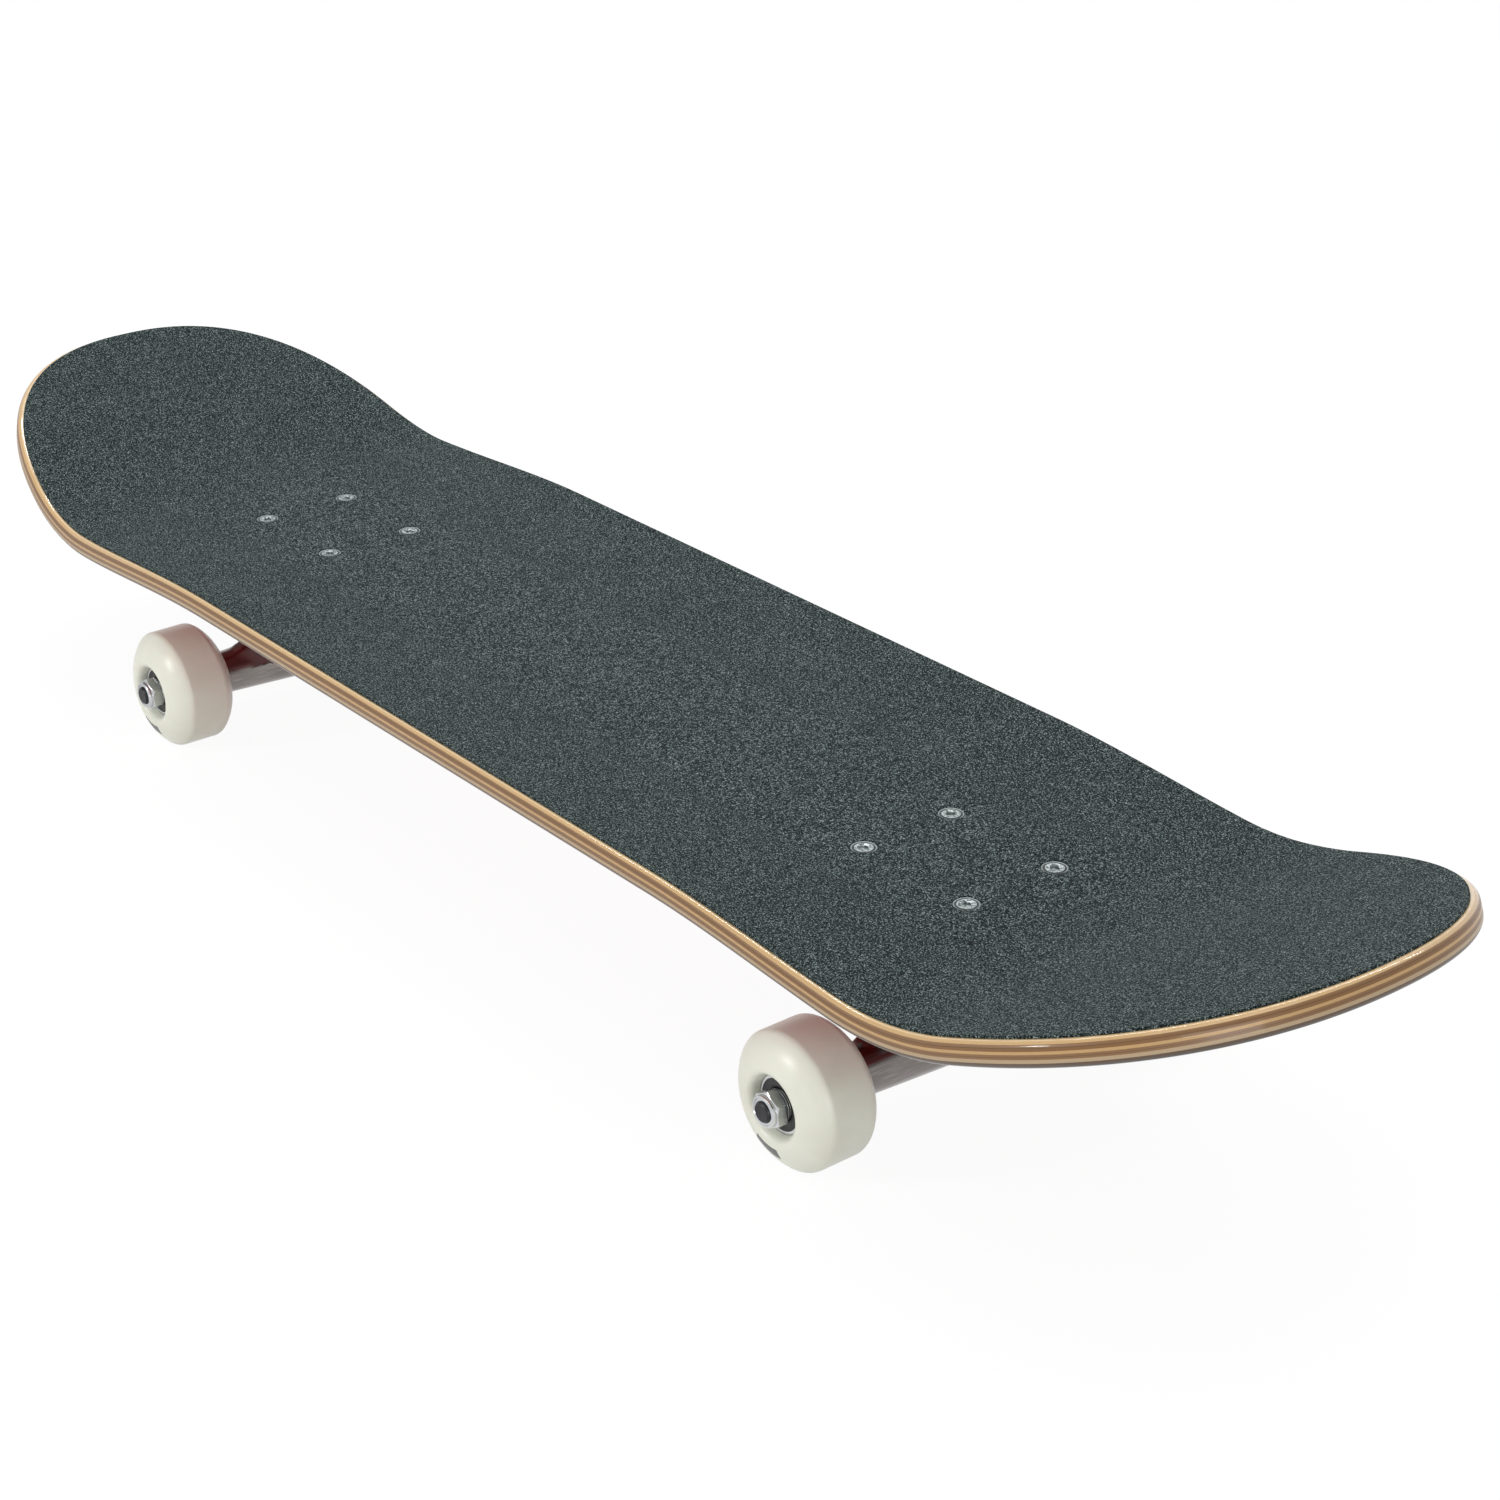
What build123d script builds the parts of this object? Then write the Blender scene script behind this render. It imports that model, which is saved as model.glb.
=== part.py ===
from build123d import *
import math
import os

# Complete skateboard, millimetres.  +X is the nose, +Y the left rail, +Z up.
# The origin is on the ground under the middle of the board.

# ---- deck -------------------------------------------------------------
deck_width = 197.0
ply_thickness = 1.3
ply_count = 7
glue_line = 0.12
seat_gap = 0.06             # base plate's top under the pressed underside
grip_thickness = 1.0
grip_inset = 2.0            # bare wood left between the grip's edge and the rail
edge_round = 2.6            # router radius along the rail, top and bottom
concave_rise = 7.2          # rail above the flat centre, between the trucks
concave_rise_ends = 1.0     # what is left of it on the kicks
concave_flat = 60.0         # width of the flat centre
concave_full = 156.0        # station where the rise starts to fade
concave_gone = 282.0        # station where the fade ends
riding_flat_skim = 0.03     # the flat centre is skimmed true by this much

nose_length = 410.2         # along the surface, from the middle to the tip
nose_shape_start = 274.0    # station where the nose outline leaves the rail
nose_fullness = 2.75
nose_roundness = 2.11
nose_kick_start = 253.8
nose_kick_radius = 154.0
nose_kick_angle = 20.5

tail_length = 411.6
tail_shape_start = 235.0
tail_fullness = 2.94
tail_roundness = 2.37
tail_kick_start = 266.7
tail_kick_radius = 132.0
tail_kick_angle = 20.6

# ---- truck bolts -------------------------------------------------------
bolt_base = 361.95          # between the inner bolts of the two trucks
pattern_length = 53.975
pattern_width = 41.275
bolt_shank = 4.8
bolt_head = 10.0
bolt_head_angle = 82.0
bolt_head_edge = 0.5
bolt_drive = 3.2
bolt_drive_depth = 1.8
bolt_reach = 2.0            # bolt end past its nut
lock_nut_flats = 9.5
lock_nut_height = 5.6
hole_gap = 0.2

# ---- trucks ------------------------------------------------------------
truck_height = 49.9         # deck underside to axle centre
axle_offset = 11.6          # axle outboard of the bolt pattern's centre
base_length = 82.0
base_width = 56.0
base_thickness = 6.5
base_corner = 9.0
base_waist = 6.0            # depth of the scallop in each long side
kingpin_angle = 22.0        # from vertical, nut end towards mid-board
kingpin_seat_x = -13.0       # kingpin seat, from the pattern's centre
kingpin_seat_drop = 12.9
kingpin_diameter = 9.5
kingpin_head = 15.6
kingpin_head_height = 5.0
kingpin_floor = 3.3         # metal between the kingpin's head and its seat
kingpin_nut_flats = 14.3
kingpin_nut_height = 7.5
kingpin_reach = 1.5
boss_diameter = 27.0
cup_washer_thickness = 1.2
cup_washer_rim = 1.5
cup_washer_wall = 1.1
bushing_diameter = 23.5
bushing_end_diameter = 18.8
board_bushing_height = 14.5
road_bushing_height = 10.6
bushing_bulge = 0.6
ring_web = 5.5
ring_recess = 2.0
ring_wall = 4.6
ring_bore = 17.6
pivot_x = 24.0
pivot_drop = 10.9
pivot_ball = 9.2            # rounded end of the pivot stub
pivot_root = 13.0
pivot_stub_length = 17.0
pivot_cup_wall = 2.8
pivot_cup_depth = 8.5
pivot_cup_flare = 11.5
pivot_housing_wall = 3.6
running_fit = 0.08
snug_fit = 0.02
soft_gap = 0.3

# ---- hanger, axle, wheels ---------------------------------------------
axle_diameter = 8.0
shoulder_diameter = 18.4
hanger_middle_diameter = 24.6
yoke_width = 20.0
crown_rise = 9.5            # yoke top over the bushing ring's centre
wheel_diameter = 52.0
wheel_width = 32.0
tread_width = 17.0
hub_lip_diameter = 28.4
hub_mouth_diameter = 26.0
wheel_side_bulge = 1.3
bearing_bore = 8.0
bearing_diameter = 22.0
bearing_width = 7.0
bearing_inner_land = 12.1
bearing_outer_land = 19.2
bearing_spacing = 10.0
spacer_diameter = 10.3
shield_thickness = 0.5
shield_sink = 0.4
shield_gap = 0.3
speed_washer_diameter = 12.5
speed_washer_thickness = 1.0
axle_nut_flats = 12.7
axle_nut_height = 6.5
axle_reach = 0.6
hanger_width = 131.0

# ---- worked out from the sizes above ------------------------------------
deck_thickness = ply_count * ply_thickness
axle_z = wheel_diameter / 2
base_top_z = axle_z + truck_height
deck_under_z = base_top_z + seat_gap
deck_top_z = deck_under_z + deck_thickness
riding_z = deck_top_z + grip_thickness
truck_x = bolt_base / 2 + pattern_length / 2
wheel_y = hanger_width / 2 + speed_washer_thickness + bearing_width + bearing_spacing / 2
axle_half = wheel_y + bearing_spacing / 2 + bearing_width + speed_washer_thickness
axle_half = axle_half + axle_nut_height + axle_reach

os.makedirs("parts", exist_ok=True)


def save(node, shape):
    export_step(shape, "parts/" + node + ".step")


# ---- deck shape ----------------------------------------------------------
NOSE = (nose_length, nose_shape_start, nose_fullness, nose_roundness,
        nose_kick_start, nose_kick_radius, math.radians(nose_kick_angle))
TAIL = (tail_length, tail_shape_start, tail_fullness, tail_roundness,
        tail_kick_start, tail_kick_radius, math.radians(tail_kick_angle))


def side_path(end, s):
    """Height line of one end's riding surface: flat, bend, straight kick.

    Returns distance from the middle, height over the flat and slope."""
    start, radius, angle = end[4], end[5], end[6]
    if s <= start:
        return s, 0.0, 0.0
    turned = (s - start) / radius
    if turned <= angle:
        return start + radius * math.sin(turned), radius * (1 - math.cos(turned)), turned
    rest = s - start - radius * angle
    x = start + radius * math.sin(angle) + rest * math.cos(angle)
    z = radius * (1 - math.cos(angle)) + rest * math.sin(angle)
    return x, z, angle


def concave(s, y):
    """Rise of the surface over its flat centre at station s, width y."""
    t = (s - concave_full) / (concave_gone - concave_full)
    t = min(max(t, 0.0), 1.0)
    fade = t * t * (3 - 2 * t)
    rise = concave_rise + (concave_rise_ends - concave_rise) * fade
    u = (abs(y) - concave_flat / 2) / (deck_width / 2 - concave_flat / 2)
    return rise * max(u, 0.0) ** 2


def deck_point(s, y, depth):
    """Point of the layer surface that lies depth under the riding surface."""
    end = NOSE if s >= 0 else TAIL
    sign = 1 if s >= 0 else -1
    x, z, slope = side_path(end, abs(s))
    up = concave(abs(s), y) - depth
    return Vector(sign * (x - math.sin(slope) * up), y, riding_z + z + math.cos(slope) * up)


def stations():
    """Stations along the board, closer together where it bends."""
    out = [0.0]
    for end, sign in ((NOSE, 1), (TAIL, -1)):
        start = end[4]
        bend_end = start + end[5] * end[6]
        fade, bend = start - concave_full, bend_end - start
        kick = end[0] + 14 - bend_end
        marks = [concave_full * (i + 1) / 4 for i in range(4)]
        marks += [concave_full + fade * (i + 1) / 7 for i in range(7)]
        marks += [start + bend * (i + 1) / 6 for i in range(6)]
        marks += [bend_end + kick * (i + 1) / 6 for i in range(6)]
        out += [sign * m for m in marks]
    return sorted(out)


def layer_curve(s, depth):
    """Cross-curve, at one station, of the surface depth under the riding surface."""
    half = deck_width / 2 + 8
    flat = concave_flat / 2
    side = [flat + (half - flat) * i / 4 for i in range(5)]
    rows = [-y for y in reversed(side)] + [0.0] + side
    return Edge.make_spline([deck_point(s, y, depth) for y in rows])


def layer(upper, lower):
    """Pressed sheet between two depths under the riding surface, not yet cut out."""
    sections = []
    for s in stations():
        top = layer_curve(s, upper)
        low = layer_curve(s, lower)
        sections.append(Wire([top, Edge.make_line(top @ 1, low @ 1), low,
                              Edge.make_line(low @ 0, top @ 0)]))
    return Solid.make_loft(sections)


def end_tool(end, sign, inset):
    """Tall prism with the outline of one end, square to its straight kick."""
    length, shape_start, p, q = end[0] - inset, end[1], end[2], end[3]
    half = deck_width / 2 - inset
    bend_end = end[4] + end[5] * end[6]
    ox, oz, slope = side_path(end, bend_end)
    along = (math.cos(slope), math.sin(slope))

    def flat_x(s):
        x, z, _ = side_path(end, s)
        return (x - ox) * along[0] + (z - oz) * along[1]

    pts = []
    steps = 14
    for i in range(steps + 1):
        t = math.pi / 2 * (1 - i / steps)
        s = shape_start + (length - shape_start) * math.cos(t) ** (2 / p)
        pts.append((flat_x(s), half * math.sin(t) ** (2 / q)))
    pts[-1] = (flat_x(length), 0.0)
    other = [(x, -y) for x, y in reversed(pts[:-1])]
    inner = flat_x(shape_start - 26)
    curve = Spline(pts + other, tangents=[(1, 0), (-1, 0)])
    rim = Polyline(curve @ 1, (inner, -half), (inner, half), curve @ 0)
    plane = Plane(origin=(sign * ox, 0, riding_z + oz),
                  x_dir=(sign * along[0], 0, along[1]),
                  z_dir=(-sign * along[1], 0, along[0]))
    face = plane * make_face(Wire([curve, *rim.edges()]))
    return extrude(face, amount=70, both=True)


def outline_tool(inset):
    x0 = -(tail_shape_start - 4)
    x1 = nose_kick_start + 8
    bar = Pos((x0 + x1) / 2, 0, riding_z) * Box(x1 - x0, deck_width - 2 * inset, 90)
    return bar + end_tool(NOSE, 1, inset) + end_tool(TAIL, -1, inset)


def bolt_places(end):
    """Centres of one truck's four bolts, seen from above."""
    return [(end * truck_x + i * pattern_length / 2, j * pattern_width / 2)
            for i in (-1, 1) for j in (-1, 1)]


def rod(radius, z0, z1):
    """Cylinder along Z from z0 to z1."""
    return Pos(0, 0, (z0 + z1) / 2) * Cylinder(radius, z1 - z0)


def cone(r0, r1, z0, z1):
    """Cone along Z, radius r0 at z0 and r1 at z1."""
    return Pos(0, 0, (z0 + z1) / 2) * Cone(r0, r1, z1 - z0)


def turned(points):
    """Solid of revolution about Z from a closed (radius, height) profile."""
    face = make_face(Polyline(*points, close=True))
    return revolve(Plane.XZ * face, Axis.Z)


def hex_nut(flats, height, bore):
    """Hex nut standing on z = 0, its corners chamfered on both faces."""
    body = extrude(RegularPolygon(flats / 2, 6, major_radius=False), amount=height)
    corner = flats / math.sqrt(3)
    ease = corner - flats / 2
    slope = ease * math.tan(math.radians(30))
    shaper = turned([(0, 0), (flats / 2, 0), (corner, slope), (corner, height - slope),
                     (flats / 2, height), (0, height)])
    return (body & shaper) - rod(bore / 2, -1, height + 1)


# ---- deck: pressed, cut out, edges rounded, drilled ---------------------------
head_slope = math.tan(math.radians(bolt_head_angle / 2))
head_depth = bolt_head_edge + (bolt_head - bolt_shank) / 2 / head_slope
hole_radius = bolt_shank / 2 + hole_gap
drill = rod(hole_radius, deck_under_z - 5, riding_z + 5)
sink_radius = bolt_head / 2 + snug_fit
sink = rod(sink_radius, deck_top_z - bolt_head_edge, riding_z + 5)
sink += cone(bolt_shank / 2 + snug_fit, sink_radius, deck_top_z - head_depth,
             deck_top_z - bolt_head_edge)
grip_hole = rod(bolt_head / 2 + hole_gap, deck_top_z - 1, riding_z + 5)

bolts_at = bolt_places(1) + bolt_places(-1)
deck = outline_tool(0) & layer(grip_thickness, grip_thickness + deck_thickness)
broad = [f for f in deck.faces() if f.area > deck_width * nose_length]
deck = fillet(ShapeList([e for f in broad for e in f.edges()]), edge_round)
mid_x = deck.bounding_box().center().X
to_origin = Pos(-mid_x, 0, 0)
deck = deck - [Pos(x, y, 0) * (drill + sink) for x, y in bolts_at]
save("deck", to_origin * deck)

# ---- grip tape: its flat centre skimmed true, then punched for the bolts -------
grip = outline_tool(grip_inset) & layer(0, grip_thickness - glue_line)
flat_x = tail_kick_start + nose_kick_start
skim = Pos((nose_kick_start - tail_kick_start) / 2, 0, riding_z - riding_flat_skim + 2)
grip = grip - skim * Box(flat_x, concave_flat, 4)
grip = grip - [Pos(x, y, 0) * grip_hole for x, y in bolts_at]
save("grip_tape", to_origin * grip)

# ---- bolts and lock nuts ------------------------------------------------------
nut_z = base_top_z - base_thickness - lock_nut_height
drive = extrude(RegularPolygon(bolt_drive / 2, 6, major_radius=False), amount=bolt_drive_depth)
bolt = rod(bolt_head / 2, deck_top_z - bolt_head_edge, deck_top_z)
bolt += cone(bolt_shank / 2, bolt_head / 2, deck_top_z - head_depth, deck_top_z - bolt_head_edge)
bolt += rod(bolt_shank / 2, nut_z - bolt_reach, deck_top_z - head_depth)
bolt = bolt - Pos(0, 0, deck_top_z - bolt_drive_depth) * drive
lock_nut = Pos(0, 0, nut_z) * hex_nut(lock_nut_flats, lock_nut_height, bolt_shank + 2 * snug_fit)

# ---- truck, drawn with its pattern centre on the deck's underside at the origin
# X points outboard, so the nose and tail trucks are the same part turned round.
lean = math.radians(kingpin_angle)
king_dir = Vector(-math.sin(lean), 0, -math.cos(lean))
seat = Vector(kingpin_seat_x, 0, -kingpin_seat_drop)
KING = Plane(origin=seat, x_dir=(math.cos(lean), 0, -math.sin(lean)), z_dir=king_dir)
web_start = cup_washer_thickness + board_bushing_height
web_end = web_start + ring_web
road_washer = web_end + road_bushing_height
king_nut = road_washer + cup_washer_thickness
king_end = king_nut + kingpin_nut_height + kingpin_reach
ring_centre = seat + king_dir * ((web_start + web_end) / 2)
pivot = Vector(pivot_x, 0, -pivot_drop)
steer_dir = (ring_centre - pivot).normalized()
STEER = Plane(origin=pivot, x_dir=(0, 1, 0), z_dir=steer_dir)
axle_at = Vector(axle_offset, 0, -truck_height)
ball = pivot_ball / 2
cup_in = ball + running_fit
cup_out = cup_in + pivot_cup_wall
housing = cup_out + pivot_housing_wall
stub_end = pivot_stub_length + 4

# base plate: waisted flange, kingpin boss and pivot housing
flange = extrude(RectangleRounded(base_length, base_width, base_corner), amount=-base_thickness)
waist_radius = (pattern_length / 2 - lock_nut_flats) ** 2 / (2 * base_waist) + base_waist / 2
for side in (1, -1):
    y = side * (base_width / 2 - base_waist + waist_radius)
    flange = flange - Pos(0, y, 0) * rod(waist_radius, -base_thickness - 1, 1)
flange = chamfer(flange.faces().sort_by(Axis.Z)[0].edges(), 1.0)
boss = KING * cone(boss_diameter / 2 + 3, boss_diameter / 2, -16, 0)
sleeve = STEER * rod(housing, 0, pivot_cup_depth)
sleeve += Pos(pivot.X, 0, pivot.Z) * Sphere(housing)
rib = Pos((pivot.X + seat.X) / 2, 0, -base_thickness - 1) * Box(pivot.X - seat.X, 9, 8)
room = Pos(0, 0, -50) * Box(200, 200, 100)
base = flange + ((boss + sleeve + rib) & room)
base = base - KING * rod(kingpin_diameter / 2 + snug_fit, -20, 1)
base = base - KING * rod(kingpin_head / 2 + hole_gap, -20, -kingpin_floor)
base = base - KING * rod(boss_diameter / 2 + 1, 0, 30)
socket = Sphere(cup_out + snug_fit)
socket += rod(cup_out + snug_fit, 0, pivot_cup_depth + 1)
base = base - STEER * socket
base = base - STEER * rod(housing + 4, pivot_cup_depth, stub_end + 4)
base_holes = [Pos(i * pattern_length / 2, j * pattern_width / 2, 0)
              * rod(hole_radius, -base_thickness - 2, 1) for i in (-1, 1) for j in (-1, 1)]
base = base - base_holes

# pivot cup: domed seat, opening out towards its mouth
cup = Sphere(cup_out) & Pos(0, 0, -50) * Box(100, 100, 100)
cup += rod(cup_out, 0, pivot_cup_depth)
cup = cup - Sphere(cup_in)
cup = cup - cone(cup_in, pivot_cup_flare / 2 + running_fit, 0, pivot_cup_depth)
cup = STEER * cup

# kingpin and its stack
kingpin = KING * (rod(kingpin_head / 2, -kingpin_floor - kingpin_head_height, -kingpin_floor)
                  + rod(kingpin_diameter / 2, -kingpin_floor, king_end))
king_bore = kingpin_diameter / 2 + hole_gap
nut = hex_nut(kingpin_nut_flats, kingpin_nut_height, kingpin_diameter + 2 * snug_fit)
nut = KING * Pos(0, 0, king_nut) * nut


def cup_washer(z, up, radius):
    """Washer at z whose turned-up rim faces along up (1 or -1)."""
    t = cup_washer_thickness
    z0 = z if up > 0 else z + t
    disc = [(king_bore, z0), (radius + cup_washer_wall, z0),
            (radius + cup_washer_wall, z0 + up * (t + cup_washer_rim)),
            (radius, z0 + up * (t + cup_washer_rim)), (radius, z0 + up * t),
            (king_bore, z0 + up * t)]
    return KING * turned(disc)


def bushing(z0, z1, r0, r1):
    """Urethane bushing: a slightly barrelled ring between two radii."""
    side = ThreePointArc((r0, z0), ((r0 + r1) / 2 + bushing_bulge, (z0 + z1) / 2), (r1, z1))
    rim = Polyline((r1, z1), (king_bore, z1), (king_bore, z0), (r0, z0))
    face = make_face(Wire([side, *rim.edges()]))
    return KING * revolve(Plane.XZ * face, Axis.Z)


def barrel(r_end, r_far, height, reach):
    """Bushing radius at a distance from its end, for the cup round it to clear."""
    part = reach / height
    return r_end + (r_far - r_end) * part + 4 * bushing_bulge * part * (1 - part)


bush_r = bushing_diameter / 2
bush_end_r = bushing_end_diameter / 2
cup_board_r = barrel(bush_r, bush_r, board_bushing_height, cup_washer_rim) + soft_gap
cup_road_r = barrel(bush_end_r, bush_r, road_bushing_height, cup_washer_rim) + soft_gap
washer_board = cup_washer(0, 1, cup_board_r)
washer_road = cup_washer(road_washer, -1, cup_road_r)
bushing_board = bushing(cup_washer_thickness, web_start, bush_r, bush_r)
bushing_road = bushing(web_end, road_washer, bush_r, bush_end_r)

# hanger: tapered axle arms, raised yoke, bushing ring and pivot stub
AXLE = Plane(origin=axle_at, x_dir=(1, 0, 0), z_dir=(0, -1, 0))
half_hanger = hanger_width / 2
mid_r = hanger_middle_diameter / 2
end_r = shoulder_diameter / 2
arms = AXLE * (cone(end_r, mid_r, -half_hanger, 0) + cone(mid_r, end_r, 0, half_hanger))
ring_r = bush_r + soft_gap + ring_wall
ring_rim = ring_web / 2 + ring_recess
mid_web = (web_start + web_end) / 2
ring = rod(ring_r, mid_web - ring_rim, mid_web + ring_rim)
ring = KING * fillet(ring.edges(), 1.2)
bridge = KING * Pos(ring_r, 0, mid_web) * Box(ring_r, ring_r * 1.5, 2 * ring_rim)

crown = ring_centre.Z + crown_rise


def yoke_section(y, spread, top):
    """Four-cornered section of the raised yoke, parallel to XZ."""
    x = axle_at.X
    z = axle_at.Z
    pts = [(x - mid_r * spread * 1.35, z + 2), (x + mid_r * spread * 0.72, z + 2),
           (x + mid_r * spread * 0.30, z + top), (x - mid_r * spread * 0.75, z + top)]
    return Plane(origin=(0, y, 0), x_dir=(1, 0, 0), z_dir=(0, -1, 0)) * make_face(
        Polyline(*[(px, pz) for px, pz in pts], close=True))


yoke_top = crown - axle_at.Z
centre_yoke = loft([yoke_section(-yoke_width / 2, 1.0, yoke_top),
                    yoke_section(yoke_width / 2, 1.0, yoke_top)], ruled=True)
wings = []
for side in (1, -1):
    wings.append(loft([yoke_section(side * yoke_width / 2, 1.0, yoke_top),
                       yoke_section(side * (half_hanger - 8), 0.5, end_r * 0.82)], ruled=True))

stub_start = pivot_cup_depth + soft_gap
stub = Sphere(ball)
stub += cone(ball, pivot_cup_flare / 2, 0, pivot_cup_depth)
stub += cone(pivot_cup_flare / 2, pivot_root / 2, pivot_cup_depth, pivot_stub_length)
stub += rod(pivot_root / 2, pivot_stub_length, stub_end)
stub = STEER * stub
hanger = arms + ring + bridge + centre_yoke + wings[0] + wings[1] + stub
swept = KING * rod(bush_r + soft_gap, mid_web + ring_web / 2, mid_web + 40)
swept += KING * rod(bush_r + soft_gap, mid_web - 40, mid_web - ring_web / 2)
hanger = hanger - swept - KING * rod(ring_bore / 2, mid_web - 20, mid_web + 20)
hanger = hanger - AXLE * rod(axle_diameter / 2 + snug_fit, -half_hanger - 1, half_hanger + 1)

axle = AXLE * rod(axle_diameter / 2, -axle_half, axle_half)
axle = chamfer(axle.faces().filter_by(GeomType.PLANE).edges(), 0.6)

# pieces that repeat at both ends of the axle, drawn along +Z of AXLE and mirrored
z_in = half_hanger + speed_washer_thickness
z_out = wheel_y + bearing_spacing / 2
bore = axle_diameter / 2 + snug_fit
washer = rod(speed_washer_diameter / 2, half_hanger, z_in)
washer += rod(speed_washer_diameter / 2, z_out + bearing_width,
              z_out + bearing_width + speed_washer_thickness)
washer = washer - rod(bore, 0, 200)
inner = rod(bearing_inner_land / 2, z_in, z_in + bearing_width)
inner += rod(bearing_inner_land / 2, z_out, z_out + bearing_width)
inner = inner - rod(bore, 0, 200)
spacer = rod(spacer_diameter / 2, z_in + bearing_width, z_out) - rod(bore, 0, 200)
nut_at = z_out + bearing_width + speed_washer_thickness
axle_nut = Pos(0, 0, nut_at) * hex_nut(axle_nut_flats, axle_nut_height, 2 * bore)

outer = rod(bearing_diameter / 2, z_in, z_in + bearing_width)
outer += rod(bearing_diameter / 2, z_out, z_out + bearing_width)
outer = outer - rod(bearing_outer_land / 2, 0, 200)
shield_bore = bearing_inner_land / 2 + shield_gap
shields = []
for z in (z_in, z_out):
    for face in (shield_sink, bearing_width - shield_sink - shield_thickness):
        ring_part = rod(bearing_outer_land / 2, z + face, z + face + shield_thickness)
        shields.append(ring_part - rod(shield_bore, 0, 200))
shields = Compound([s for x in shields for s in x.solids()])

# wheel: tread, bulged side, lip, bearing seat with a shoulder between the bearings
lip_r = hub_lip_diameter / 2
half_tread = tread_width / 2
half_wheel = wheel_width / 2
wheel_r = wheel_diameter / 2
seat_half = bearing_spacing / 2 + bearing_width
seat_r = bearing_diameter / 2
core_r = bearing_outer_land / 2


def wheel_profile():
    """Half section of the wheel, radius against distance along the axle."""
    def bulged(sign):
        mx = sign * (half_tread + half_wheel) / 2
        mr = (wheel_r + lip_r) / 2
        nx, nr = wheel_r - lip_r, half_wheel - half_tread
        n = math.hypot(nx, nr)
        return mx + sign * wheel_side_bulge * nx / n, mr + wheel_side_bulge * nr / n

    b1 = bulged(1)
    b0 = bulged(-1)
    arc1 = ThreePointArc((wheel_r, half_tread), (b1[1], b1[0]), (lip_r, half_wheel))
    arc0 = ThreePointArc((lip_r, -half_wheel), (b0[1], b0[0]), (wheel_r, -half_tread))
    mouth = hub_mouth_diameter / 2
    half_core = bearing_spacing / 2
    inside = Polyline((lip_r, half_wheel), (mouth, half_wheel - 0.8), (seat_r, seat_half),
                      (seat_r, half_core), (core_r, half_core), (core_r, -half_core),
                      (seat_r, -half_core), (seat_r, -seat_half), (mouth, 0.8 - half_wheel),
                      (lip_r, -half_wheel))
    tread = Line((wheel_r, -half_tread), (wheel_r, half_tread))
    return make_face(Wire([arc1, *inside.edges(), arc0, tread]))


wheel = revolve(Plane.XZ * wheel_profile(), Axis.Z)
rounded = [e for e in wheel.edges() if e.bounding_box().size.X > 2 * wheel_r - 0.1]
wheel = fillet(ShapeList(rounded), 2.2)
rounded = [e for e in wheel.edges() if abs(abs(e.center().Z) - half_wheel) < 0.01]
wheel = fillet(ShapeList(rounded), 0.7)
wheel = Pos(0, 0, wheel_y) * wheel


def both(shape):
    """A piece and its twin at the other end of the axle, as one node."""
    near = [AXLE * s for s in shape.solids()]
    far = [AXLE * (Rot(180, 0, 0) * s) for s in shape.solids()]
    return Compound(near + far)


for end, name in ((1, "front"), (-1, "rear")):
    place = to_origin * Pos(end * truck_x, 0, base_top_z) * Rot(0, 0, 0 if end > 0 else 180)
    save("baseplate_" + name, place * base)
    save("pivot_cup_" + name, place * cup)
    save("kingpin_" + name, place * kingpin)
    save("kingpin_nut_" + name, place * nut)
    save("washer_board_side_" + name, place * washer_board)
    save("washer_road_side_" + name, place * washer_road)
    save("bushing_board_side_" + name, place * bushing_board)
    save("bushing_road_side_" + name, place * bushing_road)
    save("hanger_" + name, place * hanger)
    save("axle_" + name, place * axle)
    save("axle_nuts_" + name, place * both(axle_nut))
    save("speed_washers_" + name, place * both(washer))
    save("bearing_spacers_" + name, place * both(spacer))
    save("bearing_inner_rings_" + name, place * both(inner))
    at = bolt_places(end)
    save("deck_bolts_" + name, Compound([to_origin * Pos(x, y, 0) * bolt for x, y in at]))
    save("lock_nuts_" + name, Compound([to_origin * Pos(x, y, 0) * lock_nut for x, y in at]))
    for side, hand in ((1, "left"), (-1, "right")):
        # AXLE +Z is the truck's own -Y, so its twin sits on the other rail
        turn = Rot(0, 0, 0) if side * end < 0 else Rot(180, 0, 0)
        tag = name + "_" + hand
        save("wheel_" + tag, place * (AXLE * (turn * wheel)))
        save("bearing_outer_rings_" + tag, place * (AXLE * (turn * outer)))
        save("bearing_shields_" + tag, place * (AXLE * (turn * shields)))

# ---- where the joints lie ----------------------------------------------------
for end in (1, -1):
    print("truck", end, "pivot", end * (truck_x + pivot.X) - mid_x, base_top_z + pivot.Z,
          "ring", end * (truck_x + ring_centre.X) - mid_x, base_top_z + ring_centre.Z,
          "axle", end * (truck_x + axle_at.X) - mid_x, axle_z)
print("steer", steer_dir, "king", king_dir, "wheel_y", wheel_y, "mid_x", mid_x, "riding", riding_z)
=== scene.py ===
# Looks of a complete skateboard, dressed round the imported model's own bodies.
# Sizes are in millimetres, and each piece's mesh is in metres.  +X is the nose.
import math
from collections import namedtuple

import bmesh
import bpy
import numpy as np
from mathutils import Matrix, Vector


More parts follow.
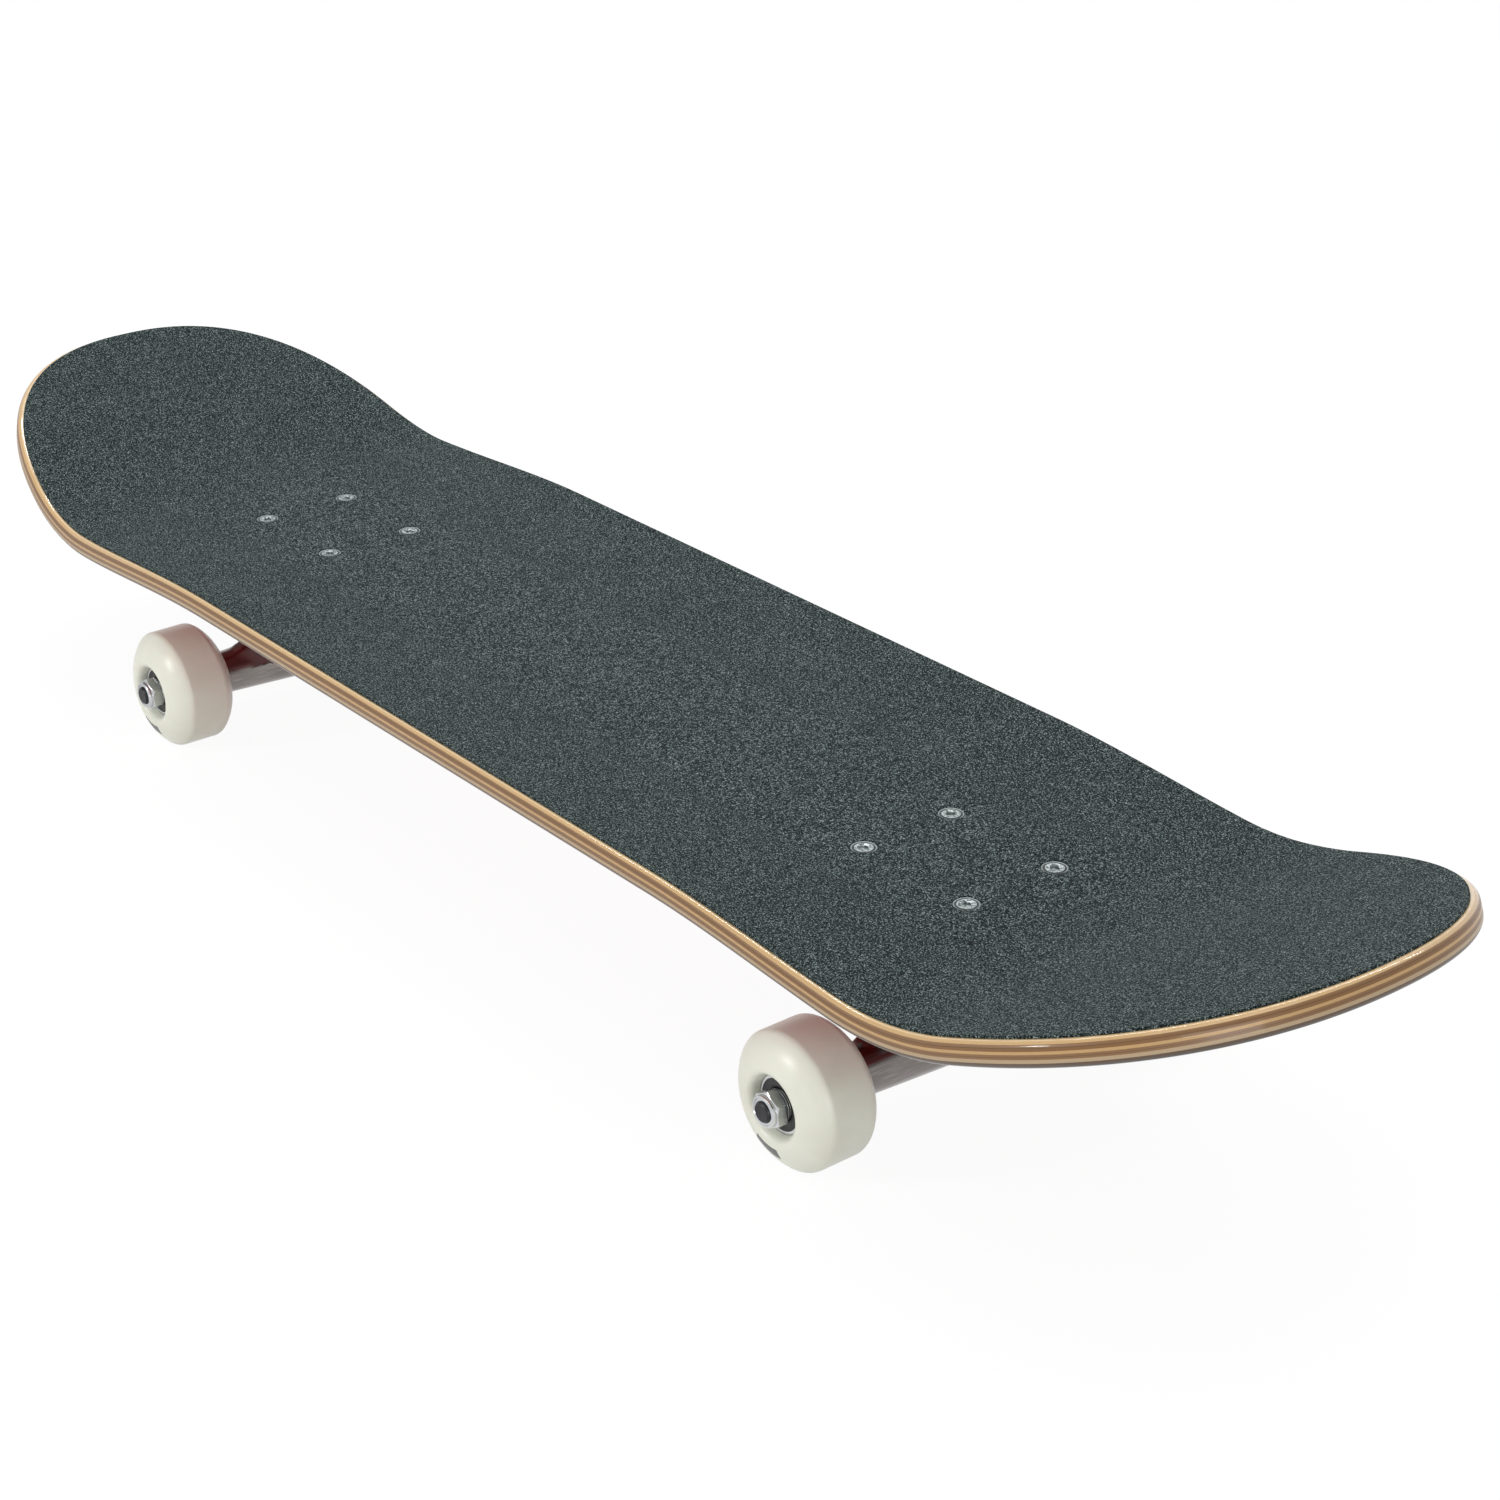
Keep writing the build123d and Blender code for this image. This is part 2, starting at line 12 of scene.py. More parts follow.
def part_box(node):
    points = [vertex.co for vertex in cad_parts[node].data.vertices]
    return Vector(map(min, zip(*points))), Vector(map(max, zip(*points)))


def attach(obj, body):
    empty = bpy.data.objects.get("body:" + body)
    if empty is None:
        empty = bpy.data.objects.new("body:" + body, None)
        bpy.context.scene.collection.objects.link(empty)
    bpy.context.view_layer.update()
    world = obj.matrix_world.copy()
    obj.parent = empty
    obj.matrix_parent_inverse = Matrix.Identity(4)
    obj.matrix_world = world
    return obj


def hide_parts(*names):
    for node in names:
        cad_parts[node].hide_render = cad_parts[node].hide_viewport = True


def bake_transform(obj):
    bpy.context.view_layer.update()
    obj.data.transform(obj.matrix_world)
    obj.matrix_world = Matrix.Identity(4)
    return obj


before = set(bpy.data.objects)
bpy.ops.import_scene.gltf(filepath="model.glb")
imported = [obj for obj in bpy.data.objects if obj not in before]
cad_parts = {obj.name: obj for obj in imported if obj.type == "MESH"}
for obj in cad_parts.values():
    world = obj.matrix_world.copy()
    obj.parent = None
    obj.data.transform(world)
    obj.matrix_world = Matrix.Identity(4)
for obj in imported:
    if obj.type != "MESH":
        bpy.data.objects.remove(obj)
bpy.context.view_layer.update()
MM = 0.001
ENDS = ("front", "rear")

# ---------------------------------------------------------------- board sizes
PLY = 1.3
DECK = 7 * PLY
GRIP = 1.0
GLUE = 0.02                         # the grip sheet ends this far above the wood
GRIP_INSET = 2.7                    # bare wood round the grip sheet
EDGE_ROUND = 2.6                    # router radius along the rail, top and bottom
DECK_HALF = 98.5
SEAT_GAP = 0.06                     # base plate's top under the deck
RAIL_RISE, KICK_RISE = 7.2, 1.0     # rail above the flat centre, amid the board and on the kicks
FLAT_HALF = 30.0                    # half the width of the flat centre
FADE_FROM, FADE_TO = 156.0, 282.0   # stations between which the rise fades
SPINE_HALF = 300.0                  # half length of the line that the board's faces spread from

# Stations and lengths of an end lie along the surface, from the board's middle.
End = namedtuple("End", "tip shape_start fullness roundness bend_start bend_radius kick_angle")
NOSE = End(410.2, 274.0, 2.75, 2.11, 253.8, 154.0, math.radians(20.5))
TAIL = End(411.6, 235.0, 2.94, 2.37, 266.7, 132.0, math.radians(20.6))


def cad_box(node):
    """Lowest and highest corner of a CAD node, in millimetres."""
    return [np.array(corner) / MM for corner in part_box(node)]


def middle(node, axis):
    """Middle of a CAD node along one axis, in millimetres."""
    low, high = cad_box(node)
    return (low[axis] + high[axis]) / 2


AXLE_X = {end: middle("axle_" + end, 0) for end in ENDS}
AXLE_Z = cad_box("wheel_front_left")[1][2] / 2
WHEEL_Y = middle("wheel_front_left", 1)
PLATE_X = {end: middle("baseplate_" + end, 0) for end in ENDS}
BASE_TOP = cad_box("baseplate_front")[1][2]
RIDING_Z = BASE_TOP + SEAT_GAP + DECK + GRIP
DECK_TOP = RIDING_Z - GRIP
MID_X = (PLATE_X["front"] + PLATE_X["rear"]) / 2

UV_DEPTH = 20.0                     # millimetres of depth per unit of V on the board
UV_RUN = 50.0                       # millimetres along the profile per unit of V on turned pieces


# ---------------------------------------------------------------- mesh making
def sheet_of(name, points, uv=None, sharp=35.0, merge=1e-7, bands=None):
    """A grid of points (rows, columns, 3), in metres, as a mesh of quads, doubles merged.

    bands gives the material number of each row of quads."""
    rows, cols = points.shape[:2]
    index = np.arange(rows * cols).reshape(rows, cols)
    quads = np.stack([index[:-1, :-1], index[1:, :-1], index[1:, 1:], index[:-1, 1:]], -1)
    mesh = bpy.data.meshes.new(name)
    mesh.from_pydata(points.reshape(-1, 3).tolist(), [], quads.reshape(-1, 4).tolist())
    if uv is not None:
        layer = mesh.uv_layers.new(name="UVMap")
        corners = uv.reshape(-1, 2)[quads.reshape(-1)]
        layer.data.foreach_set("uv", corners.astype(np.float32).ravel())
    if bands is not None:
        numbers = np.repeat(bands, cols - 1).astype(np.int32)
        mesh.polygons.foreach_set("material_index", numbers)
    return closed(name, mesh, sharp, merge)


def closed(name, mesh, sharp=35.0, merge=1e-7):
    """Merge a mesh's doubles, turn its faces outwards and shade it smooth with sharp edges."""
    bm = bmesh.new()
    bm.from_mesh(mesh)
    bmesh.ops.remove_doubles(bm, verts=bm.verts, dist=merge)
    bmesh.ops.dissolve_degenerate(bm, edges=bm.edges, dist=1e-8)
    bmesh.ops.recalc_face_normals(bm, faces=bm.faces)
    bm.to_mesh(mesh)
    bm.free()
    mesh.polygons.foreach_set("use_smooth", np.ones(len(mesh.polygons), dtype=bool))
    mesh.set_sharp_from_angle(angle=math.radians(sharp))
    obj = bpy.data.objects.new(name, mesh)
    bpy.context.scene.collection.objects.link(obj)
    return obj


def joined(name, objs, sharp=35.0):
    """Several meshes as one piece."""
    bm = bmesh.new()
    for obj in objs:
        bm.from_mesh(obj.data)
        old = obj.data
        bpy.data.objects.remove(obj)
        bpy.data.meshes.remove(old)
    mesh = bpy.data.meshes.new(name)
    bm.to_mesh(mesh)
    bm.free()
    return closed(name, mesh, sharp)


def frame_of(axis):
    """Two unit vectors square to an axis, and the axis."""
    w = np.array(axis, float)
    w = w / np.linalg.norm(w)
    side = np.array([0.0, 1.0, 0.0]) if abs(w[1]) < 0.9 else np.array([0.0, 0.0, 1.0])
    u = np.cross(side, w)
    u = u / np.linalg.norm(u)
    return u, np.cross(w, u), w


def run_of(profile):
    """Length along a profile at each of its points, in millimetres."""
    r, h = np.array(profile, float).T
    return np.concatenate([[0], np.cumsum(np.hypot(np.diff(r), np.diff(h)))])


def run_at(profile, radius):
    """Length along a profile where it first comes in to a radius."""
    k = next(i for i, point in enumerate(profile) if point[0] < radius)
    r0, r1 = profile[k - 1][0], profile[k][0]
    run = run_of(profile)
    return run[k - 1] + (run[k] - run[k - 1]) * (r0 - radius) / (r0 - r1)


def around(name, profile, origin, axis, turns=96, reshape=None, sharp=35.0, bands=None):
    """Surface of revolution: each (radius, height) of the profile goes round the axis.

    reshape(angle, radius, height) may give another radius, as for a hex. U of the UV map
    is the turn round the axis, V the length along the profile over UV_RUN."""
    u, v, w = frame_of(axis)
    r, h = np.array(profile, float).T
    angle = np.linspace(0, 2 * np.pi, turns + 1)
    angle[-1] = 0.0                 # the last column closes on the first
    a, r = np.meshgrid(angle, r)
    h = np.repeat(h[:, None], turns + 1, 1)
    if reshape is not None:
        r = reshape(a, r, h)
    p = (np.cos(a) * r)[..., None] * u + (np.sin(a) * r)[..., None] * v + h[..., None] * w
    p = (p + np.array(origin)) * MM
    uv = np.stack(np.meshgrid(np.linspace(0, 1, turns + 1), run_of(profile) / UV_RUN), -1)
    return sheet_of(name, p, uv, sharp, bands=bands)


def quadratic(a, corner, b, n):
    """Curve from a to b that leaves and arrives along the lines through the corner."""
    t = np.linspace(0, 1, n)[:, None]
    return (1 - t) ** 2 * a + 2 * t * (1 - t) * corner + t * t * b


def arc(start, stop, bulge, n):
    """Points of a profile between two places, bowed out by a parabola bulge high."""
    (r0, h0), (r1, h1) = start, stop
    t = np.linspace(0, 1, n)
    out_r, out_h = h1 - h0, -(r1 - r0)
    k = math.hypot(out_r, out_h)
    bow = 4 * bulge * t * (1 - t)
    return [(r0 + (r1 - r0) * q + out_r / k * b, h0 + (h1 - h0) * q + out_h / k * b)
            for q, b in zip(t, bow)]


def rounded(profile, radius, n=5):
    """A closed profile whose corners are each cut by a small quadratic curve."""
    points = [np.array(p, float) for p in profile]
    out = []
    for i, p in enumerate(points):
        back, on = points[i - 1] - p, points[(i + 1) % len(points)] - p
        back_length, on_length = np.linalg.norm(back), np.linalg.norm(on)
        reach = min(radius, 0.45 * back_length, 0.45 * on_length)
        a, b = p + back / back_length * reach, p + on / on_length * reach
        out += [tuple(q) for q in quadratic(a, p, b, n)]
    return out + [out[0]]


# ---------------------------------------------------------------- deck surface
def side_path(end, s):
    """Distance, height and slope along one end: flat, circular bend, straight kick."""
    turned = np.clip((s - end.bend_start) / end.bend_radius, 0, end.kick_angle)
    rest = np.maximum(s - end.bend_start - end.bend_radius * end.kick_angle, 0)
    x = (np.minimum(s, end.bend_start) + end.bend_radius * np.sin(turned)
         + rest * np.cos(end.kick_angle))
    z = end.bend_radius * (1 - np.cos(turned)) + rest * np.sin(end.kick_angle)
    return x, z, turned


def deck_point(s, y, depth):
    """Point at station s and width y, depth under the riding surface, in millimetres.

    The surface follows the side path, raised towards the rails by the square of the
    distance from the flat centre, an amount that fades into the kicks."""
    nose_x, nose_z, nose_slope = side_path(NOSE, np.abs(s))
    tail_x, tail_z, tail_slope = side_path(TAIL, np.abs(s))
    nose = s >= 0
    x = np.where(nose, nose_x, -tail_x)
    z = np.where(nose, nose_z, tail_z)
    slope = np.where(nose, nose_slope, -tail_slope)
    t = np.clip((np.abs(s) - FADE_FROM) / (FADE_TO - FADE_FROM), 0, 1)
    high = RAIL_RISE + (KICK_RISE - RAIL_RISE) * t * t * (3 - 2 * t)
    side = np.clip((np.abs(y) - FLAT_HALF) / (DECK_HALF - FLAT_HALF), 0, None)
    up = high * side ** 2 - depth
    return np.stack([x - np.sin(slope) * up + MID_X, y + 0 * s,
                     z + np.cos(slope) * up + RIDING_Z], -1)


def outline(inset):
    """Closed plan outline in station and width: straight rails and superelliptic ends."""
    half = DECK_HALF - inset
    t = np.linspace(0, np.pi / 2, 400)

    def end_curve(end):
        reach = end.tip - inset - end.shape_start
        return (end.shape_start + reach * np.cos(t) ** (2 / end.fullness),
                half * np.sin(t) ** (2 / end.roundness))

    nose_s, nose_y = end_curve(NOSE)
    tail_s, tail_y = end_curve(TAIL)
    rail = np.linspace(NOSE.shape_start, -TAIL.shape_start, 300)[1:-1]
    s = np.concatenate([nose_s, rail, -tail_s[::-1]])
    y = np.concatenate([nose_y, np.full(len(rail), half), tail_y[::-1]])
    return np.concatenate([s, s[::-1][1:]]), np.concatenate([y, -y[::-1][1:]])


def even_places(s, y, count):
    """Places in an outline's list of points that lie evenly along its length."""
    run = np.concatenate([[0], np.cumsum(np.hypot(np.diff(s), np.diff(y)))])
    return np.interp(np.linspace(0, run[-1], count), run, np.arange(len(s)))


LOOP = 900                          # steps round the board's outline
PLACES = even_places(*outline(0.0), LOOP + 1)


def ring(inset):
    """The outline drawn in by inset, at the same evenly spaced places."""
    s, y = outline(inset)
    k = np.arange(len(s))
    return np.interp(PLACES, k, s), np.interp(PLACES, k, y)


def filled(inset, steps, depth):
    """Rings from the board's spine out to the inset outline, on one layer surface."""
    s, y = ring(inset)
    spine = np.clip(s, -SPINE_HALF, SPINE_HALF)
    v = np.linspace(0, 1, steps)[:, None]
    return deck_point(spine + (s - spine) * v, y * v, depth)


def slab(name, inset, top, bottom, edge, steps, wall):
    """Closed sheet between two depths: top face, rounded rim, wall, rounded rim, bottom face.

    edge is the radius of both rims, and wall the steps between them. U of the UV map runs
    once round the outline, and V is the depth under the riding surface over UV_DEPTH."""
    rows = [filled(inset + edge, steps, top)]
    depths = [np.full(steps, top)]

    def add_ring(drawn_in, depth):
        s, y = ring(drawn_in)
        rows.append(deck_point(s, y, depth)[None])
        depths.append([depth])

    turns = np.linspace(0, np.pi / 2, 7)[1:] if edge else []
    for a in turns:
        add_ring(inset + edge * (1 - math.sin(a)), top + edge * (1 - math.cos(a)))
    for f in np.linspace(0, 1, wall + 1)[1:-1]:
        add_ring(inset, top + edge + (bottom - edge - top - edge) * f)
    for a in turns[::-1]:
        add_ring(inset + edge * (1 - math.sin(a)), bottom - edge * (1 - math.cos(a)))
    rows.append(filled(inset + edge, steps, bottom)[::-1])
    depths.append(np.full(steps, bottom))
    u, v = np.meshgrid(np.linspace(0, 1, LOOP + 1), np.concatenate(depths) / UV_DEPTH)
    return sheet_of(name, np.concatenate(rows) * MM, np.stack([u, v], -1), sharp=50, merge=2e-6)


# ---------------------------------------------------------------- shader maths
def maths(operation):
    """A method that adds one Math node, with the value itself as its first input."""
    def method(self, *others):
        return self.graph.node("ShaderNodeMath", dict(operation=operation), [self, *others])
    return method


class Value:
    """A shader socket that takes part in Python expressions."""

    def __init__(self, graph, socket):
        self.graph, self.socket = graph, socket

    __add__ = __radd__ = maths("ADD")
    __sub__ = maths("SUBTRACT")
    __mul__ = __rmul__ = maths("MULTIPLY")
    __truediv__ = maths("DIVIDE")
    __abs__ = maths("ABSOLUTE")
    over = maths("GREATER_THAN")
    under = maths("LESS_THAN")
    power = maths("POWER")
    max = maths("MAXIMUM")

    def __rsub__(self, other):
        return self * -1.0 + other

    def ramp(self, low, high):
        """Smooth step, from 0 at low to 1 at high, which may be the smaller of the two."""
        return self.graph.node("ShaderNodeMapRange", dict(interpolation_type="SMOOTHSTEP"),
                               {"Value": self, "From Min": low, "From Max": high})


def fill_ramp(ramp, stops, between):
    """Give a colour ramp its stops, each a place from 0 to 1 and a colour."""
    ramp.interpolation = between
    while len(ramp.elements) < len(stops):
        ramp.elements.new(0.5)
    for element, (place, colour) in zip(ramp.elements, stops):
        element.position = place
        element.color = (*colour, 1.0)


class Graph:
    """A node tree, emptied, whose nodes are then made by node()."""

    def __init__(self, tree):
        self.tree = tree
        tree.nodes.clear()

    def put(self, socket, x):
        """Link a value to a socket, or set a constant on it."""
        if isinstance(x, Value):
            self.tree.links.new(x.socket, socket)
        elif socket.type == "RGBA":
            socket.default_value = (*x, 1.0)
        else:
            socket.default_value = x

    def node(self, kind, settings=None, inputs=None, output=0):
        """A node of one kind: its settings are set first, then its sockets' values or links.

        A colour ramp's settings are its stops and what lies between them. With None for
        the output, all of them come back as a list."""
        node = self.tree.nodes.new(kind)
        settings = dict(settings or {})
        if "stops" in settings:
            fill_ramp(node.color_ramp, settings.pop("stops"), settings.pop("between"))
        for key, value in settings.items():
            setattr(node, key, value)
        pairs = inputs.items() if isinstance(inputs, dict) else enumerate(inputs or [])
        for key, value in pairs:
            self.put(node.inputs[key], value)
        if output is None:
            return [Value(self, socket) for socket in node.outputs]
        return Value(self, node.outputs[output])

    def end_with(self, kind, shader):
        """Output node of the tree, fed by a shader."""
        out = self.tree.nodes.new(kind)
        self.put(out.inputs["Surface"], shader)

    def place(self, kind="Object"):
        """Object coordinates, or the piece's own UV map."""
        return self.node("ShaderNodeTexCoord", output=kind)

    def parts(self, vector):
        """The three numbers of a vector."""
        return self.node("ShaderNodeSeparateXYZ", None, [vector], None)

    def point(self, x, y):
        """A vector of two numbers."""
        return self.node("ShaderNodeCombineXYZ", None, [x, y, 0.0])

    def scaled(self, vector, scale, location=(0, 0, 0)):
        return self.node("ShaderNodeMapping", None,
                         {"Vector": vector, "Scale": scale, "Location": location})

    def noise(self, vector, scale, detail=3.0, rough=0.55, distortion=0.0):
        return self.node("ShaderNodeTexNoise", dict(noise_dimensions="3D"),
                         {"Vector": vector, "Scale": scale, "Detail": detail,
                          "Roughness": rough, "Distortion": distortion})

    def cells(self, vector, scale):
        """Distance to the nearest of scattered points."""
        return self.node("ShaderNodeTexVoronoi", dict(feature="F1"),
                         {"Vector": vector, "Scale": scale}, "Distance")

    def mix(self, factor, a, b):
        """Colour a where the factor is 0 and colour b where it is 1."""
        return self.node("ShaderNodeMix", dict(data_type="RGBA"), {0: factor, 6: a, 7: b}, 2)

    def steps(self, factor, stops, between="CONSTANT"):
        """Colours in bands, or blended where between says LINEAR."""
        return self.node("ShaderNodeValToRGB", dict(stops=stops, between=between), [factor])

    def bump(self, height, strength, distance=0.0002):
        return self.node("ShaderNodeBump", None,
                         {"Height": height, "Strength": strength, "Distance": distance})

    def seen(self):
        """1 for a ray from the camera, off a shine or through a clear body, 0 for the rest."""
        kinds = ("Is Camera Ray", "Is Glossy Ray", "Is Transmission Ray")
        camera, shine, clear = (self.node("ShaderNodeLightPath", output=kind) for kind in kinds)
        return camera.max(shine).max(clear)


class Finish(Graph):
    """One material: nodes are made by node(), the shader's sockets are set by shade()."""

    SOCKETS = dict(colour="Base Color", rough="Roughness", metal="Metallic", coat="Coat Weight",
                   coat_rough="Coat Roughness", normal="Normal", spec="Specular IOR Level",
                   sub="Subsurface Weight", sub_scale="Subsurface Scale")

    def __init__(self, name):
        self.mat = bpy.data.materials.new(name)
        self.mat.use_nodes = True
        super().__init__(self.mat.node_tree)
        self.shader = self.tree.nodes.new("ShaderNodeBsdfPrincipled")

    def shade(self, **sockets):
        """Feed the shader's sockets, end the tree at it, and give the material."""
        self.end_with("ShaderNodeOutputMaterial", self.lit(**sockets))
        return self.mat

    def lit(self, **sockets):
        """The shader with its sockets fed."""
        for key, value in sockets.items():
            self.put(self.shader.inputs[self.SOCKETS[key]], value)
        return Value(self, self.shader.outputs["BSDF"])


def srgb(r, g, b):
    """Screen colour, 0 to 255, as a linear colour."""
    shares = (c / 255 for c in (r, g, b))
    return tuple(c / 12.92 if c <= 0.04045 else ((c + 0.055) / 1.055) ** 2.4 for c in shares)


# ---------------------------------------------------------------- finishes
BAR_SIZE, BAR_ROUND = (12.4, 4.6), 0.7  # plain bar on each wheel's outer side
BAR_R, BAR_TURN = 17.7, 0.722           # its middle radius, and its turn round the wheel
DUST_RUN = (4.1, 5.1)                   # stretch of the bolt head's profile that holds dust


def ply_edge_finish():
    """Cut edge of seven plies over a maple face, red lacquer with black ends below."""
    f = Finish("laminated_maple")
    u, v, _ = f.parts(f.place("UV"))
    pos = f.place("Object")
    x, y, _ = f.parts(pos)
    depth = v * UV_DEPTH - GRIP

    light, tan, pale, dark = (srgb(*tone) for tone in (
        (190, 152, 95), (184, 147, 97), (172, 148, 116), (84, 66, 50)))
    brown, deep = srgb(120, 82, 35), srgb(86, 54, 22)
    low_brown, low_deep = srgb(126, 91, 52), srgb(98, 68, 42)
    # The last band, dark, makes the edge darker over its lower rounding, down to the paint.
    plies = [(0.0, light), (1.05, brown), (1.95, deep), (2.15, brown), (3.1, tan),
             (4.1, low_brown), (4.85, low_deep), (5.05, low_brown), (5.7, pale), (6.9, dark)]
    wobble = (f.noise(f.point(u * 900.0, v * 30.0), 1.0, 2.0) - 0.5) * 0.12
    stripes = f.steps((depth + wobble) / DECK, [(start / DECK, tone) for start, tone in plies])
    streak = f.noise(f.point(u * 2600.0, v * 260.0), 1.0, 3.0, 0.7)
    pores = f.noise(f.scaled(pos, (0.6, 1.4, 1.4)), 900.0, 2.0, 0.6)
    shade = 0.86 + 0.22 * streak + 0.10 * (pores - 0.5)
    wood = f.node("ShaderNodeVectorMath", dict(operation="SCALE"), {0: stripes, "Scale": shade})

    grain = f.noise(f.scaled(pos, (3.0, 60.0, 60.0)), 4.0, 4.0, 0.6, 0.4)
    face = f.mix(grain.ramp(0.35, 0.7), srgb(224, 194, 146), srgb(206, 170, 120))
    wood = f.mix(depth.under(0.25), wood, face)
    bow = abs(y) * abs(y) * 6.0
    ends = (abs(x - MID_X * MM) + bow).ramp(0.2975, 0.2985)
    paint = f.mix(ends, srgb(168, 18, 24), srgb(22, 21, 22))
    under = depth.over(DECK - 0.9)
    relief = streak * (1 - under) * depth.ramp(1.0, 1.6) + grain * under * 0.4
    return f.shade(colour=f.mix(under, wood, paint),
                   rough=under * -0.22 + 0.42 + 0.1 * (streak - 0.5),
                   normal=f.bump(relief, 0.25, 0.00012),
                   coat=1.0 - depth.ramp(0.9, 1.8) * 0.8, coat_rough=0.08)


def grit_finish():
    """Silicon carbide grit: dark grey-green grains, some of them lightened and made glossier as
    painted glints.
    """
    f = Finish("grip_grit")
    pos = f.place("Object")
    coarse = f.noise(pos, 1400.0, 2.0, 0.8)
    fine = f.noise(pos, 2600.0, 1.0, 0.5)
    patch = f.noise(pos, 40.0, 3.0, 0.6)
    grains = f.cells(pos, 1500.0)
    # painted glints: scattered specks are lightened toward a pale grey to stand in for glints of
    # light, and are also made glossier
    painted_glint_specks = f.noise(f.scaled(pos, (1, 1, 1), (0.37, 0.11, 0.0)), 1900.0, 0.0, 0.5)
    tone = (coarse - 0.5) * 3.0 + (fine - 0.5) * 1.4 + (patch - 0.5) * 0.12 + 0.42
    stops = [(0.0, srgb(8, 13, 14)), (0.3, srgb(19, 28, 29)), (0.55, srgb(40, 52, 52)),
             (0.8, srgb(78, 92, 91)), (1.0, srgb(148, 161, 159))]
    colour = f.mix(painted_glint_specks.ramp(0.66, 0.76), f.steps(tone, stops, "LINEAR"), srgb(140, 150, 150))
    return f.shade(colour=colour, rough=0.94 - 0.2 * painted_glint_specks, spec=0.12,
                   normal=f.bump(grains * 0.7 + fine * 0.6, 0.5, 0.0004))


def urethane_finish(bar_run):
    """Cast urethane, slightly cloudy, with one plain dark bar printed on the outer side.

    The bar is a rounded rectangle: a point's distance from it is the length of how far
    the point lies past it round the wheel and along the profile."""
    f = Finish("wheel_urethane")
    pos = f.place("Object")
    u, v, _ = f.parts(f.place("UV"))
    cloud = f.noise(pos, 55.0, 3.0, 0.55)
    fine = f.noise(pos, 1400.0, 2.0, 0.6)
    colour = f.mix(cloud.ramp(0.3, 0.7), srgb(222, 224, 210), srgb(216, 217, 202))
    half_wide, half_high = (size / 2 - BAR_ROUND for size in BAR_SIZE)
    wide = (abs(u - BAR_TURN) * (2 * math.pi * BAR_R) - half_wide).max(0.0)
    high = (abs(v * UV_RUN - bar_run) - half_high).max(0.0)
    edge = (wide * wide + high * high).power(0.5)
    ink = edge.ramp(BAR_ROUND + 0.06, BAR_ROUND - 0.06) * (0.96 - 0.14 * fine.ramp(0.55, 0.75))
    return f.shade(colour=f.mix(ink, colour, srgb(44, 44, 43)), rough=0.3 + 0.1 * fine,
                   normal=f.bump(fine, 0.06, 0.0001), sub=0.06, sub_scale=0.004)


def metal_finish(name, low, high, rough, grain, depth):
    """Metal whose colour and polish vary over a fine grain."""
    f = Finish(name)
    pos = f.place("Object")
    fine = f.noise(pos, grain, 3.0, 0.6)
    cloud = f.noise(pos, 70.0, 2.0, 0.5)
    return f.shade(colour=f.mix(cloud.ramp(0.3, 0.7), low, high),
                   rough=rough + 0.16 * (fine - 0.5) + 0.06 * (cloud - 0.5),
                   metal=1.0, normal=f.bump(fine, depth, 0.0001))


def polished_finish():
    """Polished casting: grey kept dark as painted shade of a darker room in its reflections, with
    fine polishing lines that run along the axle, lightened as painted highlight streaks.
    """
    f = Finish("polished_cast")
    pos = f.place("Object")
    polish_lines_and_highlights = f.noise(f.scaled(pos, (1.0, 0.04, 1.0)), 1600.0, 3.0, 0.65)
    cloud = f.noise(f.scaled(pos, (1.0, 0.35, 1.0)), 45.0, 2.0, 0.5)
    # painted shade: the grey is kept dark to stand for a darker room reflected in the metal
    tone = f.mix(cloud.ramp(0.25, 0.75), srgb(132, 126, 123), srgb(106, 100, 98))
    # the polishing lines are lightened toward a pale grey as painted highlight streaks
    tone = f.mix(polish_lines_and_highlights.ramp(0.45, 0.75) * 0.35, tone, srgb(178, 174, 170))
    return f.shade(colour=tone, rough=0.14 + 0.12 * (polish_lines_and_highlights - 0.5) + 0.05 * cloud, metal=1.0,
                   normal=f.bump(polish_lines_and_highlights, 0.12))


def plain_finish(name, colour, rough, grain=900.0):
    """Rubber or plastic of one colour, a little lighter and darker over a fine grain."""
    f = Finish(name)
    fine = f.noise(f.place("Object"), grain, 3.0, 0.6)
    low = tuple(c * 0.86 for c in colour)
    high = tuple(min(c * 1.12, 1) for c in colour)
    return f.shade(colour=f.mix(fine, low, high), rough=rough + 0.1 * (fine - 0.5),
                   normal=f.bump(fine, 0.12, 0.0001))


def bolt_finish():
    """Zinc plate with grit dust packed in a ring round the middle of each head, dark specks over
    the socket and the head's middle, and painted shade on the head's outer edge down in the grip's
    hole.
    """
    f = Finish("zinc_bolt_head")
    pos = f.place("Object")
    _, v, _ = f.parts(f.place("UV"))
    fine = f.noise(pos, 1800.0, 2.0, 0.6)
    run = v * UV_RUN + (fine - 0.5) * 0.5
    start, stop = DUST_RUN
    dust = run.ramp(start - 0.12, start + 0.12) * run.ramp(stop + 0.12, stop - 0.12)
    # dark specks in patches over the socket and the middle of the head
    middle_dark_specks = f.noise(pos, 900.0, 1.0, 0.5).ramp(0.42, 0.56) * run.ramp(4.2, 3.6) * 0.85
    # painted shade: the head's outer edge, down beside the wall of the grip's hole, is darkened by
    # near half
    rim = run.ramp(5.1, 5.3) * 0.45
    dark = dust.max(middle_dark_specks).max(rim) * (0.78 + 0.3 * fine)
    plate = f.mix(fine, srgb(150, 164, 163), srgb(196, 207, 206))
    return f.shade(colour=f.mix(dark, plate, srgb(34, 40, 41)),
                   rough=0.3 + 0.5 * dark + 0.2 * (fine - 0.5), metal=0.5 - dark * 0.5,
                   normal=f.bump(fine, 0.25))


